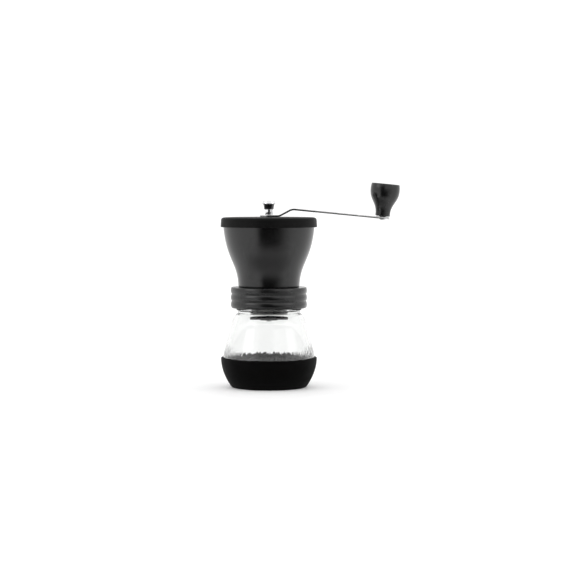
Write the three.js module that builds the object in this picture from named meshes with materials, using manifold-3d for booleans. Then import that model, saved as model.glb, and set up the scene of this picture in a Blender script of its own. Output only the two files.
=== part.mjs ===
// A hand-crank coffee grinder, in millimetres, +Z up, with its origin under the middle of the foot.
// A glass jar stands in a rubber foot. The mill body screws on the jar's neck and carries the hopper above and a
// pair of conical ceramic burrs below. A steel shaft runs through the middle, turned by a crank with a loose knob.
// The dial under the inner burr sets the grind: turning it on the shaft's thread lets the spring push the burr down.
import * as THREE from "three";
import { mergeVertices } from "three/addons/utils/BufferGeometryUtils.js";
import Module from "manifold-3d";

const wasm = await Module();
wasm.setup();

// Driving dimensions
const GAP = 0.3; // left between pieces that touch
const LARGE_ROUND = 40; // sides of the big turned pieces
const MEDIUM_ROUND = 32;
const SMALL_ROUND = 24;
const OVERLAP = 0.6; // how far a joined piece reaches into its neighbour

const FOOT = { height: 29, baseRadius: 36, rimRadius: 46.5, wall: 2, floor: 3, edge: 2.4 };
const GLASS = { wall: 3.2, floor: 5.2, shoulder: 59.5, shoulderRadius: 36.6, neckStart: 71.8 };
const NECK = { radius: 30, bore: 27, top: 92, beadRadius: 31.6, beadLow: 74.2, beadHigh: 76.7 };
const JAR_THREAD = { pitch: 4, turns: 1.75, start: 80.5, crest: 31.4, boreCrest: 30.5, width: 1.8 };

const COLLAR = { bottom: 77, top: 97.1, crest: 36.9, bore: 32, ridgePitch: 6.8, ridgeDepth: 1, ridges: 3 };
const DECK_UNDERSIDE = 92.5;
const SEAT_RING = { outer: 27.2, inner: 25.2, top: 103 }; // the ring that the hopper fits over
const CHAMBER = { bore: 18.5, outer: 21.5, bottom: 78.1, ceiling: 91.8, throat: 14.2, throatTop: 93.4 };
const TOWER = { radius: 7.6, bore: 5.3, bottom: 93.9, top: 141 };
const SPIDER = { arms: 3, width: 4, low: 96, high: 112 };

const HOPPER = { bottom: 97.4, mouth: 156, top: 162.1, wall: 2, bottomRadius: 29.5, mouthRadius: 44.1 };
const LID = { bottom: 155.1, top: 164.7, radius: 46.6, skirt: 1.6, plate: 2.3, hole: 4.3, ringOuter: 41, ringDepth: 4.2 };

const HOLDER = { bore: 15.8, radius: 18.1, bottom: 72.3, top: 80, flange: 21.4, flangeLow: 76.4, flangeHigh: 77.8 };
const OUTER_BURR = { radius: 18.1, bottom: 80.3, top: 91.5, teeth: 16, twist: -0.35 };
const INNER_BURR = { bottom: 68.9, grind: 80.3, top: 90.5, teeth: 12, twist: 0.5, bore: 4.3, socket: 16, socketTop: 77.7 };
const BURR_FOOT = { radius: 17.6, top: 71.9 }; // the wider foot of the cone, between the holder and the dial
const SPRING_WELL = { radius: 6.5, floor: 83.2 };
const CARRIER = { bottom: 69.2, top: 77.4, acrossFlats: 15.4 };
const SPRING = { wire: 0.55, radius: 5.3, low: 85, high: 91.3, turns: 4 };
const SPRING_WASHER = { bore: 4.1, radius: 6.1, bottom: 83.5, top: 84.2 };

const DIAL = { radius: 18.5, low: 66.9, high: 68.6, scallops: 28, scallopDepth: 0.5, hubRadius: 8.2, hubLow: 66.4 };
const DIAL_INSERT = { radius: 5, bore: 2.9, low: 66.4, high: 68.4 };

const SHAFT = { radius: 3.5, hexFlats: 5.8, lowThread: 2.6, highThread: 2.5, shoulder: 164.7 };
const SHAFT_LEVELS = { bottom: 65.4, lowHex: 69, lowRound: 92, highThread: 166.7, top: 177 };
const CLIP_GROOVE = { low: 144, high: 145.4, radius: 2.9 };
const HEX_HOLE = 6.4; // across flats, round a hex of SHAFT.hexFlats
const BUSH = { radius: 5, bore: 3.6, flange: 6.9, flangeThickness: 1.3, length: 8.5 };
const THRUST_WASHER = { bore: 3.8, radius: 6.8, bottom: 142.9, top: 143.7 };
const CLIP = { bore: 3.2, radius: 6, bottom: 144.3, top: 145.1, mouth: 4.6 };

const ARM = { thickness: 1.8, hubRadius: 8.6, endRadius: 6.9, level: 165.9, bendRadius: 4 };
const ARM_RISE = { x: 10.2 }; // where the flat hub ends and the arm climbs
const ARM_CREST = { x: 22.4, z: 172.4 }; // where it turns and runs down to the knob
const KNOB_X = 109.6; // the crank's radius
const ARM_SLOPE = 0.0975; // fall of the outer stretch per millimetre
const KNOB_TILT = Math.atan(ARM_SLOPE);
const KNOB = { base: 1.9, height: 31.2, neck: 7.1, neckTop: 3.1, belly: 14.1, bellyTop: 25.7, top: 13.3 };
const KNOB_BORE = { radius: 3.8, counterbore: 6.3, counterboreLow: 20.7, capSeat: 8.8, capSeatDepth: 2.8 };
const PIN = { shank: 2.5, hole: 2.8, shoulder: 3.5, head: 5.2, headLow: 21, headHigh: 22.6, rivet: 2.6, rivetDepth: 1.1 };

const CAP_NUT = { stem: 3.9, stemTop: 172.2, coneLow: 4.6, coneHigh: 5.4, coneTop: 177.3, cap: 6.8, top: 181, bore: 2.8 };
const CAP_NUT_BOTTOM = ARM.level + ARM.thickness / 2 + GAP;

// Finishes
const finish = (color, roughness, metalness = 0) => new THREE.MeshStandardMaterial({ color, roughness, metalness });
const clearGlass = new THREE.MeshStandardMaterial({
  color: 0xf2f6f5,
  roughness: 0.02,
  metalness: 0,
  transparent: true,
  opacity: 0.3,
});
const blackRubber = finish(0x101010, 0.7);
const greyPlastic = finish(0x2c2c2d, 0.45);
const smokePlastic = finish(0x343436, 0.3);
const blackPlastic = finish(0x151515, 0.5);
const steel = finish(0xb9bcc0, 0.28, 1);
const chrome = finish(0xd8dadd, 0.08, 1);
const brass = finish(0xb08d46, 0.35, 1);
const ceramic = finish(0xeeebe4, 0.4);
const nylon = finish(0xe3e0d6, 0.5);

// Solids: each helper gives a manifold-3d solid, and addPiece turns a finished one into a named mesh.

/** The solid that a three.js geometry encloses, turned right side out. */
function solidFrom(geometry) {
  const bare = geometry.index ? geometry.toNonIndexed() : geometry.clone();
  bare.deleteAttribute("normal");
  bare.deleteAttribute("uv");
  const merged = mergeVertices(bare, 1e-4);
  const triVerts = new Uint32Array(merged.index.array);
  const vertProperties = new Float32Array(merged.attributes.position.array);
  const solid = new wasm.Manifold(new wasm.Mesh({ numProp: 3, vertProperties, triVerts }));
  if (solid.volume() >= 0) return solid;
  for (let i = 0; i < triVerts.length; i += 3) {
    [triVerts[i + 1], triVerts[i + 2]] = [triVerts[i + 2], triVerts[i + 1]];
  }
  return new wasm.Manifold(new wasm.Mesh({ numProp: 3, vertProperties, triVerts }));
}

/** A [radius, height] outline turned about Z. It starts and ends on the axis, or is closed here. */
function turned(outline, sides) {
  const points = outline.map(([r, z]) => new THREE.Vector2(r, z));
  if (outline[0][0] > 0) points.push(points[0].clone());
  return solidFrom(new THREE.LatheGeometry(points, sides).rotateX(Math.PI / 2));
}

/** A ring or disc of rectangular section. */
function ring(bore, radius, low, high, sides) {
  if (bore > 0) return turned([[bore, low], [radius, low], [radius, high], [bore, high]], sides);
  return turned([[0, low], [radius, low], [radius, high], [0, high]], sides);
}

/** A hexagonal prism standing on Z. */
function hexPrism(acrossFlats, low, high) {
  const circumradius = acrossFlats / Math.sqrt(3);
  const geometry = new THREE.CylinderGeometry(circumradius, circumradius, high - low, 6);
  return solidFrom(geometry.rotateX(Math.PI / 2).translate(0, 0, (low + high) / 2));
}

/** A flat outline of Vector2 points in X and Y, raised from low to high. */
function raised(points, low, high) {
  const geometry = new THREE.ExtrudeGeometry(new THREE.Shape(points), { depth: high - low, bevelEnabled: false });
  return solidFrom(geometry.translate(0, 0, low));
}

/** A flat outline of Vector2 points in X and Z, given a width either side of the XZ plane. */
function upright(points, width) {
  const geometry = new THREE.ExtrudeGeometry(new THREE.Shape(points), { depth: width, bevelEnabled: false });
  return solidFrom(geometry.translate(0, 0, -width / 2).rotateX(Math.PI / 2));
}

/** Points on a cubic curve as [radius, height], without its first point. */
function curvePoints(from, control1, control2, to, count) {
  const [a, b, c, d] = [from, control1, control2, to].map(([r, z]) => new THREE.Vector2(r, z));
  const curve = new THREE.CubicBezierCurve(a, b, c, d);
  return curve.getPoints(count).slice(1).map((p) => [p.x, p.y]);
}

/** A closed skin over rings of points, each ring an array of Vector3 of the same length. */
function skinned(rings) {
  const count = rings[0].length;
  const positions = rings.flat().flatMap((p) => [p.x, p.y, p.z]);
  const index = [];
  rings.slice(1).forEach((_, level) => {
    for (let i = 0; i < count; i += 1) {
      const a = level * count + i;
      const b = level * count + ((i + 1) % count);
      index.push(a, b, b + count, a, b + count, a + count);
    }
  });
  for (const [level, turn] of [[0, 1], [rings.length - 1, 0]]) {
    const flat = rings[level].map((p, i) => ({ p, i: level * count + i }));
    const centre = positions.length / 3;
    const middle = flat.reduce((sum, q) => sum.add(q.p), new THREE.Vector3()).divideScalar(count);
    positions.push(middle.x, middle.y, middle.z);
    flat.forEach((q, i) => {
      const next = flat[(i + 1) % count].i;
      index.push(centre, turn ? next : q.i, turn ? q.i : next);
    });
  }
  const geometry = new THREE.BufferGeometry();
  geometry.setAttribute("position", new THREE.Float32BufferAttribute(positions, 3));
  geometry.setIndex(index);
  return solidFrom(geometry);
}

/** A trapezoid ridge wound round Z, from rootRadius to crestRadius, that runs out to nothing at both ends. */
function threadRidge({ rootRadius, crestRadius, start, pitch, turns, width, stepsPerTurn }) {
  const steps = Math.round(turns * stepsPerTurn);
  const runOut = stepsPerTurn / 8;
  const rings = [];
  for (let i = 0; i <= steps; i += 1) {
    const angle = (i / stepsPerTurn) * 2 * Math.PI;
    const rise = start + (i / stepsPerTurn) * pitch;
    const fullness = Math.max(0.04, Math.min(1, i / runOut, (steps - i) / runOut));
    const crest = rootRadius + (crestRadius - rootRadius) * fullness;
    const buried = rootRadius - Math.sign(crestRadius - rootRadius) * OVERLAP;
    const section = [[buried, -width / 2], [rootRadius, -width / 2], [crest, -width / 5]];
    const mirrored = section.map(([r, z]) => [r, -z]).reverse();
    rings.push([...section, ...mirrored].map(([r, z]) =>
      new THREE.Vector3(r * Math.cos(angle), r * Math.sin(angle), rise + z)));
  }
  return skinned(rings);
}

/** A round wire wound round Z. */
function coil({ wire, radius, low, high, turns }, stepsPerTurn, sides) {
  const rings = [];
  for (let i = 0; i <= turns * stepsPerTurn; i += 1) {
    const angle = (i / stepsPerTurn) * 2 * Math.PI;
    const rise = low + ((high - low) * i) / (turns * stepsPerTurn);
    rings.push(Array.from({ length: sides }, (_, k) => {
      const around = (k / sides) * 2 * Math.PI;
      const r = radius + wire * Math.cos(around);
      return new THREE.Vector3(r * Math.cos(angle), r * Math.sin(angle), rise + wire * Math.sin(around));
    }));
  }
  return skinned(rings);
}

/** A burr's working face: levels of {z, crest, depth}, with saw teeth that lean round by twist over the height. */
function toothed(levels, teeth, twist) {
  const profile = [0, 0.55, 1, 0.25]; // how deep each of a tooth's four points lies
  const low = levels[0].z;
  const height = levels[levels.length - 1].z - low;
  return skinned(levels.map(({ z, crest, depth }) =>
    Array.from({ length: teeth * profile.length }, (_, i) => {
      const angle = (i / (teeth * profile.length)) * 2 * Math.PI + (twist * (z - low)) / height;
      const r = crest - depth * profile[i % profile.length];
      return new THREE.Vector3(r * Math.cos(angle), r * Math.sin(angle), z);
    })));
}

const footRadiusAt = (z) =>
  FOOT.baseRadius + (FOOT.rimRadius - FOOT.baseRadius) * (1 - (1 - z / FOOT.height) ** 2);

/** The radius inside the foot's wall at height z, the wall being FOOT.wall thick square to its slope. */
function footBoreAt(z) {
  const slope = ((2 * (FOOT.rimRadius - FOOT.baseRadius)) / FOOT.height) * (1 - z / FOOT.height);
  return footRadiusAt(z) - FOOT.wall * Math.hypot(1, slope);
}

const steps = (from, to, count) => Array.from({ length: count + 1 }, (_, i) => from + ((to - from) * i) / count);

function footCover() {
  const { baseRadius, edge, height, floor } = FOOT;
  return turned([
    [0, 0],
    [baseRadius - edge, 0],
    ...steps(edge, height - 0.4, 6).map((z) => [footRadiusAt(z), z]),
    [footRadiusAt(height) - 0.5, height],
    [footBoreAt(height) + 0.4, height],
    ...steps(height - 0.5, floor, 5).map((z) => [footBoreAt(z), z]),
    [0, floor],
  ], LARGE_ROUND);
}

function glassJar() {
  const jarRadiusAt = (z) => footBoreAt(z) - GAP;
  const bottom = FOOT.floor + GAP;
  const widest = [jarRadiusAt(FOOT.height), FOOT.height];
  const shoulder = [GLASS.shoulderRadius, GLASS.shoulder];
  const neckFoot = [NECK.radius + 0.4, GLASS.neckStart];
  const inside = ([r, z]) => [r - GLASS.wall, z];
  const insideNeck = [NECK.bore, GLASS.neckStart + 1];
  const shell = turned([
    [0, bottom],
    [jarRadiusAt(bottom) - 3.6, bottom],
    ...steps(bottom + 2, FOOT.height, 4).map((z) => [jarRadiusAt(z), z]),
    ...curvePoints(widest, [widest[0], 37], [38.5, 50], shoulder, 4),
    ...curvePoints(shoulder, [36, 64.1], [34.6, 69.8], neckFoot, 5),
    [NECK.radius, GLASS.neckStart + 1],
    [NECK.radius, NECK.beadLow],
    [NECK.beadRadius, NECK.beadLow + 1],
    [NECK.beadRadius, NECK.beadHigh - 1],
    [NECK.radius, NECK.beadHigh],
    [NECK.radius, NECK.top - 0.8],
    [NECK.radius - 0.8, NECK.top],
    [NECK.bore + 0.8, NECK.top],
    [NECK.bore, NECK.top - 0.8],
    insideNeck,
    ...curvePoints(insideNeck, [NECK.bore, 69.9], [32.6, 67.8], inside(shoulder), 5),
    ...curvePoints(inside(shoulder), [35.3, 50], inside([widest[0], 37]), inside(widest), 3),
    [jarRadiusAt(10.5) - GLASS.wall, 10.5],
    [jarRadiusAt(9) - GLASS.wall - 2, bottom + GLASS.floor + 0.6],
    [0, bottom + GLASS.floor],
  ], LARGE_ROUND);
  const { start, pitch, turns, width, crest } = JAR_THREAD;
  return shell.add(threadRidge({
    rootRadius: NECK.radius, crestRadius: crest, start, pitch, turns, width, stepsPerTurn: LARGE_ROUND,
  }));
}

/** The outer radius of the collar at height z: rounded ridges with sharp valleys between them. */
function collarRadiusAt(z) {
  const phase = ((z - COLLAR.bottom) / COLLAR.ridgePitch - 0.5) * Math.PI;
  return COLLAR.crest - COLLAR.ridgeDepth * (1 - Math.abs(Math.cos(phase)));
}

function millBody() {
  const ridgeTop = COLLAR.top - 0.5;
  const shell = turned([
    [COLLAR.bore, COLLAR.bottom],
    [collarRadiusAt(COLLAR.bottom) - 0.6, COLLAR.bottom],
    ...steps(COLLAR.bottom + 0.5, ridgeTop, COLLAR.ridges * 4).map((z) => [collarRadiusAt(z), z]),
    [COLLAR.crest - 1.8, COLLAR.top],
    [SEAT_RING.outer, COLLAR.top],
    [SEAT_RING.outer, SEAT_RING.top],
    [SEAT_RING.inner, SEAT_RING.top],
    [CHAMBER.throat, CHAMBER.throatTop],
    [CHAMBER.throat, CHAMBER.ceiling],
    [CHAMBER.bore, CHAMBER.ceiling],
    [CHAMBER.bore, CHAMBER.bottom],
    [CHAMBER.outer, CHAMBER.bottom],
    [CHAMBER.outer, DECK_UNDERSIDE],
    [COLLAR.bore, DECK_UNDERSIDE],
  ], LARGE_ROUND);
  const tower = turned([
    [TOWER.bore, TOWER.bottom],
    [TOWER.radius - 0.9, TOWER.bottom],
    [TOWER.radius, SPIDER.low],
    [TOWER.radius - 0.5, TOWER.top],
    [TOWER.bore, TOWER.top],
  ], SMALL_ROUND);
  const arm = upright([
    new THREE.Vector2(TOWER.radius - OVERLAP, SPIDER.low),
    new THREE.Vector2(CHAMBER.throat + 4, SPIDER.low),
    new THREE.Vector2(SEAT_RING.inner + OVERLAP, SEAT_RING.top - 0.8),
    new THREE.Vector2(CHAMBER.throat, SPIDER.high - 4),
    new THREE.Vector2(TOWER.radius - OVERLAP, SPIDER.high),
  ], SPIDER.width);
  const arms = steps(90, 90 + 360 - 360 / SPIDER.arms, SPIDER.arms - 1).map((turn) => arm.rotate([0, 0, turn]));
  const { start, pitch, turns, width, boreCrest } = JAR_THREAD;
  const thread = threadRidge({
    rootRadius: COLLAR.bore, crestRadius: boreCrest, start: start + pitch / 2, pitch, turns, width,
    stepsPerTurn: LARGE_ROUND,
  });
  return [tower, ...arms, thread].reduce((body, piece) => body.add(piece), shell);
}

function hopper() {
  const { bottom, mouth, top, wall, bottomRadius, mouthRadius } = HOPPER;
  const side = (inset) => [
    [bottomRadius - inset, bottom],
    ...curvePoints([bottomRadius - inset, bottom], [30.7 - inset, 121.8], [41.1 - inset, 123.1],
      [mouthRadius - inset, mouth], 8),
    [mouthRadius + 0.2 - inset, top],
  ];
  return turned([...side(0), ...side(wall - 0.1).reverse()], LARGE_ROUND);
}

function hopperLid() {
  const { bottom, top, radius, skirt, plate, hole, ringOuter, ringDepth } = LID;
  const underside = top - plate;
  const ringInner = ringOuter - 1.8;
  const fillet = 3;
  const shoulder = [radius - 0.3, top - fillet];
  return turned([
    [hole, underside],
    [ringInner, underside],
    [ringInner, underside - ringDepth],
    [ringOuter, underside - ringDepth],
    [ringOuter, underside],
    [radius - skirt - 0.4, underside],
    [radius - skirt, bottom],
    [radius, bottom],
    shoulder,
    ...curvePoints(shoulder, [radius - 0.4, top - 1.2], [radius - 1.6, top - 0.2], [radius - fillet - 0.6, top - 0.1], 4),
    [hole, top],
  ], LARGE_ROUND);
}

function outerBurrHolder() {
  const { bore, radius, bottom, top, flange, flangeLow, flangeHigh } = HOLDER;
  return turned([
    [bore, bottom + 0.5],
    [bore + 0.5, bottom],
    [radius - 0.6, bottom],
    [radius, bottom + 0.6],
    [radius, flangeLow],
    [flange, flangeLow],
    [flange, flangeHigh],
    [radius, flangeHigh],
    [radius, top],
    [bore, top],
  ], MEDIUM_ROUND);
}

function outerBurr() {
  const { radius, bottom, top, teeth, twist } = OUTER_BURR;
  const body = ring(0, radius, bottom, top, MEDIUM_ROUND);
  // The bore's teeth point inwards, so the cutter that makes them is widest between the teeth.
  const cutter = toothed([
    { z: bottom - 0.5, crest: 15, depth: 0.5 },
    { z: 84, crest: 14.4, depth: 1 },
    { z: 88, crest: 13.9, depth: 1.3 },
    { z: top - 0.6, crest: 14.1, depth: 0.8 },
    { z: top + 0.5, crest: 14.5, depth: 0.3 },
  ], teeth, twist);
  return body.subtract(cutter);
}

function innerBurr() {
  const { bottom, grind, top, teeth, twist, bore, socket, socketTop } = INNER_BURR;
  const cone = toothed([
    { z: bottom, crest: BURR_FOOT.radius - 0.4, depth: 0.05 },
    { z: bottom + 0.4, crest: BURR_FOOT.radius, depth: 0.05 },
    { z: BURR_FOOT.top - 0.4, crest: BURR_FOOT.radius, depth: 0.05 },
    { z: BURR_FOOT.top, crest: 14.1, depth: 0.05 },
    { z: grind - 1.2, crest: 14.1, depth: 0.05 },
    { z: grind, crest: 14.1, depth: 0.6 },
    { z: 84, crest: 12.4, depth: 1.3 },
    { z: 88, crest: 10.6, depth: 1.6 },
    { z: top, crest: 9.4, depth: 1.1 },
  ], teeth, twist);
  return cone
    .subtract(ring(0, bore, bottom - 1, top + 1, SMALL_ROUND))
    .subtract(ring(0, SPRING_WELL.radius, SPRING_WELL.floor, top + 1, SMALL_ROUND))
    .subtract(hexPrism(socket, bottom - 1, socketTop));
}

const burrCarrier = () =>
  hexPrism(CARRIER.acrossFlats, CARRIER.bottom, CARRIER.top)
    .subtract(hexPrism(HEX_HOLE, CARRIER.bottom - 1, CARRIER.top + 1));

function adjustingDial() {
  const { radius, low, high, scallops, scallopDepth, hubRadius, hubLow } = DIAL;
  const pointsPerScallop = 4;
  const rim = steps(0, scallops * pointsPerScallop - 1, scallops * pointsPerScallop - 1).map((i) => {
    const angle = (i / (scallops * pointsPerScallop)) * 2 * Math.PI;
    const r = radius - scallopDepth * (0.5 - 0.5 * Math.cos(angle * scallops));
    return new THREE.Vector2(r * Math.cos(angle), r * Math.sin(angle));
  });
  return raised(rim, low, high)
    .add(ring(0, hubRadius, hubLow, low + OVERLAP, SMALL_ROUND))
    .subtract(ring(0, DIAL_INSERT.radius + GAP, hubLow - 1, high + 1, SMALL_ROUND));
}

const dialInsert = () =>
  ring(DIAL_INSERT.bore, DIAL_INSERT.radius, DIAL_INSERT.low, DIAL_INSERT.high, SMALL_ROUND);

function driveShaft() {
  const { radius, hexFlats, lowThread, highThread, shoulder } = SHAFT;
  const levels = SHAFT_LEVELS;
  const rod = turned([
    [0, levels.bottom],
    [lowThread - 0.5, levels.bottom],
    [lowThread, levels.bottom + 0.5],
    [lowThread, levels.lowRound],
    [radius, levels.lowRound],
    [radius, CLIP_GROOVE.low],
    [CLIP_GROOVE.radius, CLIP_GROOVE.low],
    [CLIP_GROOVE.radius, CLIP_GROOVE.high],
    [radius, CLIP_GROOVE.high],
    [radius, shoulder],
    [highThread, shoulder],
    [highThread, levels.top - 0.5],
    [highThread - 0.5, levels.top],
    [0, levels.top],
  ], SMALL_ROUND);
  return rod
    .add(hexPrism(hexFlats, levels.lowHex, levels.lowRound + OVERLAP))
    .add(hexPrism(hexFlats, shoulder - OVERLAP, levels.highThread));
}

/** A flanged bush whose flange ends at flangeEnd and whose body goes up (+1) or down (-1) from it. */
function bush(flangeEnd, direction) {
  const flangeInner = flangeEnd + direction * BUSH.flangeThickness;
  const bodyEnd = flangeInner + direction * BUSH.length;
  return turned([
    [BUSH.bore, flangeEnd],
    [BUSH.flange, flangeEnd],
    [BUSH.flange, flangeInner],
    [BUSH.radius, flangeInner],
    [BUSH.radius, bodyEnd],
    [BUSH.bore, bodyEnd],
  ], SMALL_ROUND);
}

const thrustWasher = () =>
  ring(THRUST_WASHER.bore, THRUST_WASHER.radius, THRUST_WASHER.bottom, THRUST_WASHER.top, SMALL_ROUND);

function shaftClip() {
  const { bore, radius, bottom, top, mouth } = CLIP;
  const opening = raised([
    new THREE.Vector2(0, -mouth / 2),
    new THREE.Vector2(radius + 1, -mouth / 2),
    new THREE.Vector2(radius + 1, mouth / 2),
    new THREE.Vector2(0, mouth / 2),
  ], bottom - 1, top + 1);
  return ring(bore, radius, bottom, top, SMALL_ROUND).subtract(opening);
}

/** Height of the middle of the arm's sloping stretch at x. */
const armLevelAt = (x) => ARM_CREST.z - ARM_SLOPE * (x - ARM_CREST.x);

/** Points along the middle of the arm, seen from the side, with its two bends rounded. */
function armSpine() {
  const end = KNOB_X + ARM.endRadius + 1;
  const corners = [
    new THREE.Vector2(-ARM.hubRadius - 1, ARM.level),
    new THREE.Vector2(ARM_RISE.x, ARM.level),
    new THREE.Vector2(ARM_CREST.x, ARM_CREST.z),
    new THREE.Vector2(end, armLevelAt(end)),
  ];
  const path = new THREE.Path().moveTo(corners[0].x, corners[0].y);
  for (const i of [1, 2]) {
    const before = corners[i - 1].clone().sub(corners[i]).setLength(ARM.bendRadius).add(corners[i]);
    const after = corners[i + 1].clone().sub(corners[i]).setLength(ARM.bendRadius).add(corners[i]);
    path.lineTo(before.x, before.y).quadraticCurveTo(corners[i].x, corners[i].y, after.x, after.y);
  }
  return path.lineTo(corners[3].x, corners[3].y).getPoints(5);
}

function crankArm() {
  const spine = armSpine();
  const offset = (side) => spine.map((point, i) => {
    const ahead = spine[Math.min(i + 1, spine.length - 1)];
    const behind = spine[Math.max(i - 1, 0)];
    const along = ahead.clone().sub(behind).normalize();
    return point.clone().add(new THREE.Vector2(-along.y, along.x).multiplyScalar((side * ARM.thickness) / 2));
  });
  const strip = upright([...offset(-1), ...offset(1).reverse()], 2 * ARM.hubRadius + 2);
  const roundEnd = (x, radius, from) => steps(from, from + 180, 12).map((turn) => {
    const angle = THREE.MathUtils.degToRad(turn);
    return new THREE.Vector2(x + radius * Math.cos(angle), radius * Math.sin(angle));
  });
  const plan = raised([...roundEnd(0, ARM.hubRadius, 90), ...roundEnd(KNOB_X, ARM.endRadius, -90)], 150, 190);
  const pinHole = ring(0, PIN.hole, -5, 5, SMALL_ROUND)
    .rotate([0, THREE.MathUtils.radToDeg(KNOB_TILT), 0])
    .translate([KNOB_X, 0, armLevelAt(KNOB_X)]);
  return strip.intersect(plan).subtract(hexPrism(HEX_HOLE, 150, 190)).subtract(pinHole);
}

function capNut() {
  const { stem, stemTop, coneLow, coneHigh, coneTop, cap, top, bore } = CAP_NUT;
  return turned([
    [bore, CAP_NUT_BOTTOM],
    [stem, CAP_NUT_BOTTOM],
    [stem, stemTop],
    [coneLow, stemTop + 0.2],
    [coneHigh, coneTop],
    [cap, coneTop + 0.6],
    [cap, top - 1],
    [cap - 0.8, top - 0.3],
    [0, top],
    [0, SHAFT_LEVELS.top + 0.8],
    [bore, SHAFT_LEVELS.top + 0.8],
  ], SMALL_ROUND);
}

// The knob and what is on its pin are built in the pin's own frame: Z along the pin, zero in the middle of the arm.
const armTop = ARM.thickness / 2;

function knobPin() {
  const { shank, shoulder, head, headLow, headHigh, rivet, rivetDepth } = PIN;
  const underArm = -armTop - GAP;
  return turned([
    [0, underArm - rivetDepth],
    [rivet, underArm - rivetDepth],
    [rivet + 0.4, underArm],
    [shank, underArm],
    [shank, armTop + GAP],
    [shoulder, armTop + GAP],
    [shoulder, headLow],
    [head, headLow],
    [head, headHigh],
    [0, headHigh],
  ], SMALL_ROUND);
}

const knobWasher = () => ring(PIN.shoulder + GAP, 6.2, armTop + GAP, KNOB.base - GAP, SMALL_ROUND);

function crankKnob() {
  const { base, height, neck, neckTop, belly, bellyTop, top } = KNOB;
  const end = base + height;
  return turned([
    [KNOB_BORE.radius, base],
    [neck, base],
    [neck, base + neckTop],
    ...curvePoints([neck, base + neckTop], [7.5, base + 12.6], [14.3, base + 14.9], [belly, base + bellyTop], 7),
    [top + 0.3, end - 1],
    [top - 0.7, end],
    [KNOB_BORE.capSeat, end],
    [KNOB_BORE.capSeat, end - KNOB_BORE.capSeatDepth],
    [KNOB_BORE.counterbore, end - KNOB_BORE.capSeatDepth],
    [KNOB_BORE.counterbore, KNOB_BORE.counterboreLow],
    [KNOB_BORE.radius, KNOB_BORE.counterboreLow],
  ], MEDIUM_ROUND);
}

function knobCap() {
  const end = KNOB.base + KNOB.height;
  return ring(0, KNOB_BORE.capSeat - GAP, end - KNOB_BORE.capSeatDepth + GAP, end - 0.1, SMALL_ROUND);
}

// Assembly

/** Adds a solid to a group as a named mesh. */
function addPiece(group, name, solid, material) {
  const { numProp, vertProperties, triVerts } = solid.getMesh();
  const positions = new Float32Array((vertProperties.length / numProp) * 3);
  for (let i = 0; i < positions.length / 3; i += 1) {
    positions.set(vertProperties.subarray(i * numProp, i * numProp + 3), i * 3);
  }
  const geometry = new THREE.BufferGeometry();
  geometry.setAttribute("position", new THREE.BufferAttribute(positions, 3));
  geometry.setIndex(new THREE.BufferAttribute(triVerts, 1));
  geometry.computeVertexNormals();
  const mesh = new THREE.Mesh(geometry, material);
  mesh.name = name;
  group.add(mesh);
}

const grinder = new THREE.Group();

addPiece(grinder, "foot_cover", footCover(), blackRubber);
addPiece(grinder, "glass_jar", glassJar(), clearGlass);

addPiece(grinder, "mill_body", millBody(), greyPlastic);
addPiece(grinder, "hopper", hopper(), smokePlastic);
addPiece(grinder, "hopper_lid", hopperLid(), blackPlastic);
addPiece(grinder, "outer_burr_holder", outerBurrHolder(), blackPlastic);
addPiece(grinder, "outer_burr", outerBurr(), ceramic);
addPiece(grinder, "lower_bush", bush(TOWER.bottom - GAP - BUSH.flangeThickness, 1), nylon);
addPiece(grinder, "upper_bush", bush(TOWER.top + GAP + BUSH.flangeThickness, -1), nylon);

addPiece(grinder, "drive_shaft", driveShaft(), steel);
addPiece(grinder, "thrust_washer", thrustWasher(), steel);
addPiece(grinder, "shaft_clip", shaftClip(), steel);
addPiece(grinder, "burr_spring", coil(SPRING, 14, 6), steel);
addPiece(grinder, "spring_washer", ring(SPRING_WASHER.bore, SPRING_WASHER.radius, SPRING_WASHER.bottom,
  SPRING_WASHER.top, SMALL_ROUND), steel);
addPiece(grinder, "inner_burr", innerBurr(), ceramic);
addPiece(grinder, "burr_carrier", burrCarrier(), blackPlastic);
addPiece(grinder, "adjusting_dial", adjustingDial(), blackPlastic);
addPiece(grinder, "dial_insert", dialInsert(), brass);

addPiece(grinder, "crank_arm", crankArm(), steel);
addPiece(grinder, "cap_nut", capNut(), chrome);

const knobAssembly = new THREE.Group();
knobAssembly.position.set(KNOB_X, 0, armLevelAt(KNOB_X));
knobAssembly.rotation.y = KNOB_TILT;
addPiece(knobAssembly, "knob_pin", knobPin(), steel);
addPiece(knobAssembly, "knob_washer", knobWasher(), steel);
addPiece(knobAssembly, "crank_knob", crankKnob(), greyPlastic);
addPiece(knobAssembly, "knob_cap", knobCap(), blackPlastic);
grinder.add(knobAssembly);

export default grinder;
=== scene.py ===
"""A hand-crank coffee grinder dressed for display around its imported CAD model.

Every sub-assembly is a class that holds its sizes in millimetres and builds its pieces in place, in metres.
Levels and radii that the CAD settles are read from the frame. Each finish is a small class that builds one
material, and effects that several finishes share are shader node groups. Threads, flutes, burr teeth, the
spring and pieces that repeat round the axis are made by geometry node trees and kept as plain meshes.
"""

from __future__ import annotations

import logging
import math
from dataclasses import dataclass, field
from enum import Enum
from typing import Sequence, Union

import bmesh
import bpy
import numpy as np
from mathutils import Matrix, Vector


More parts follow.
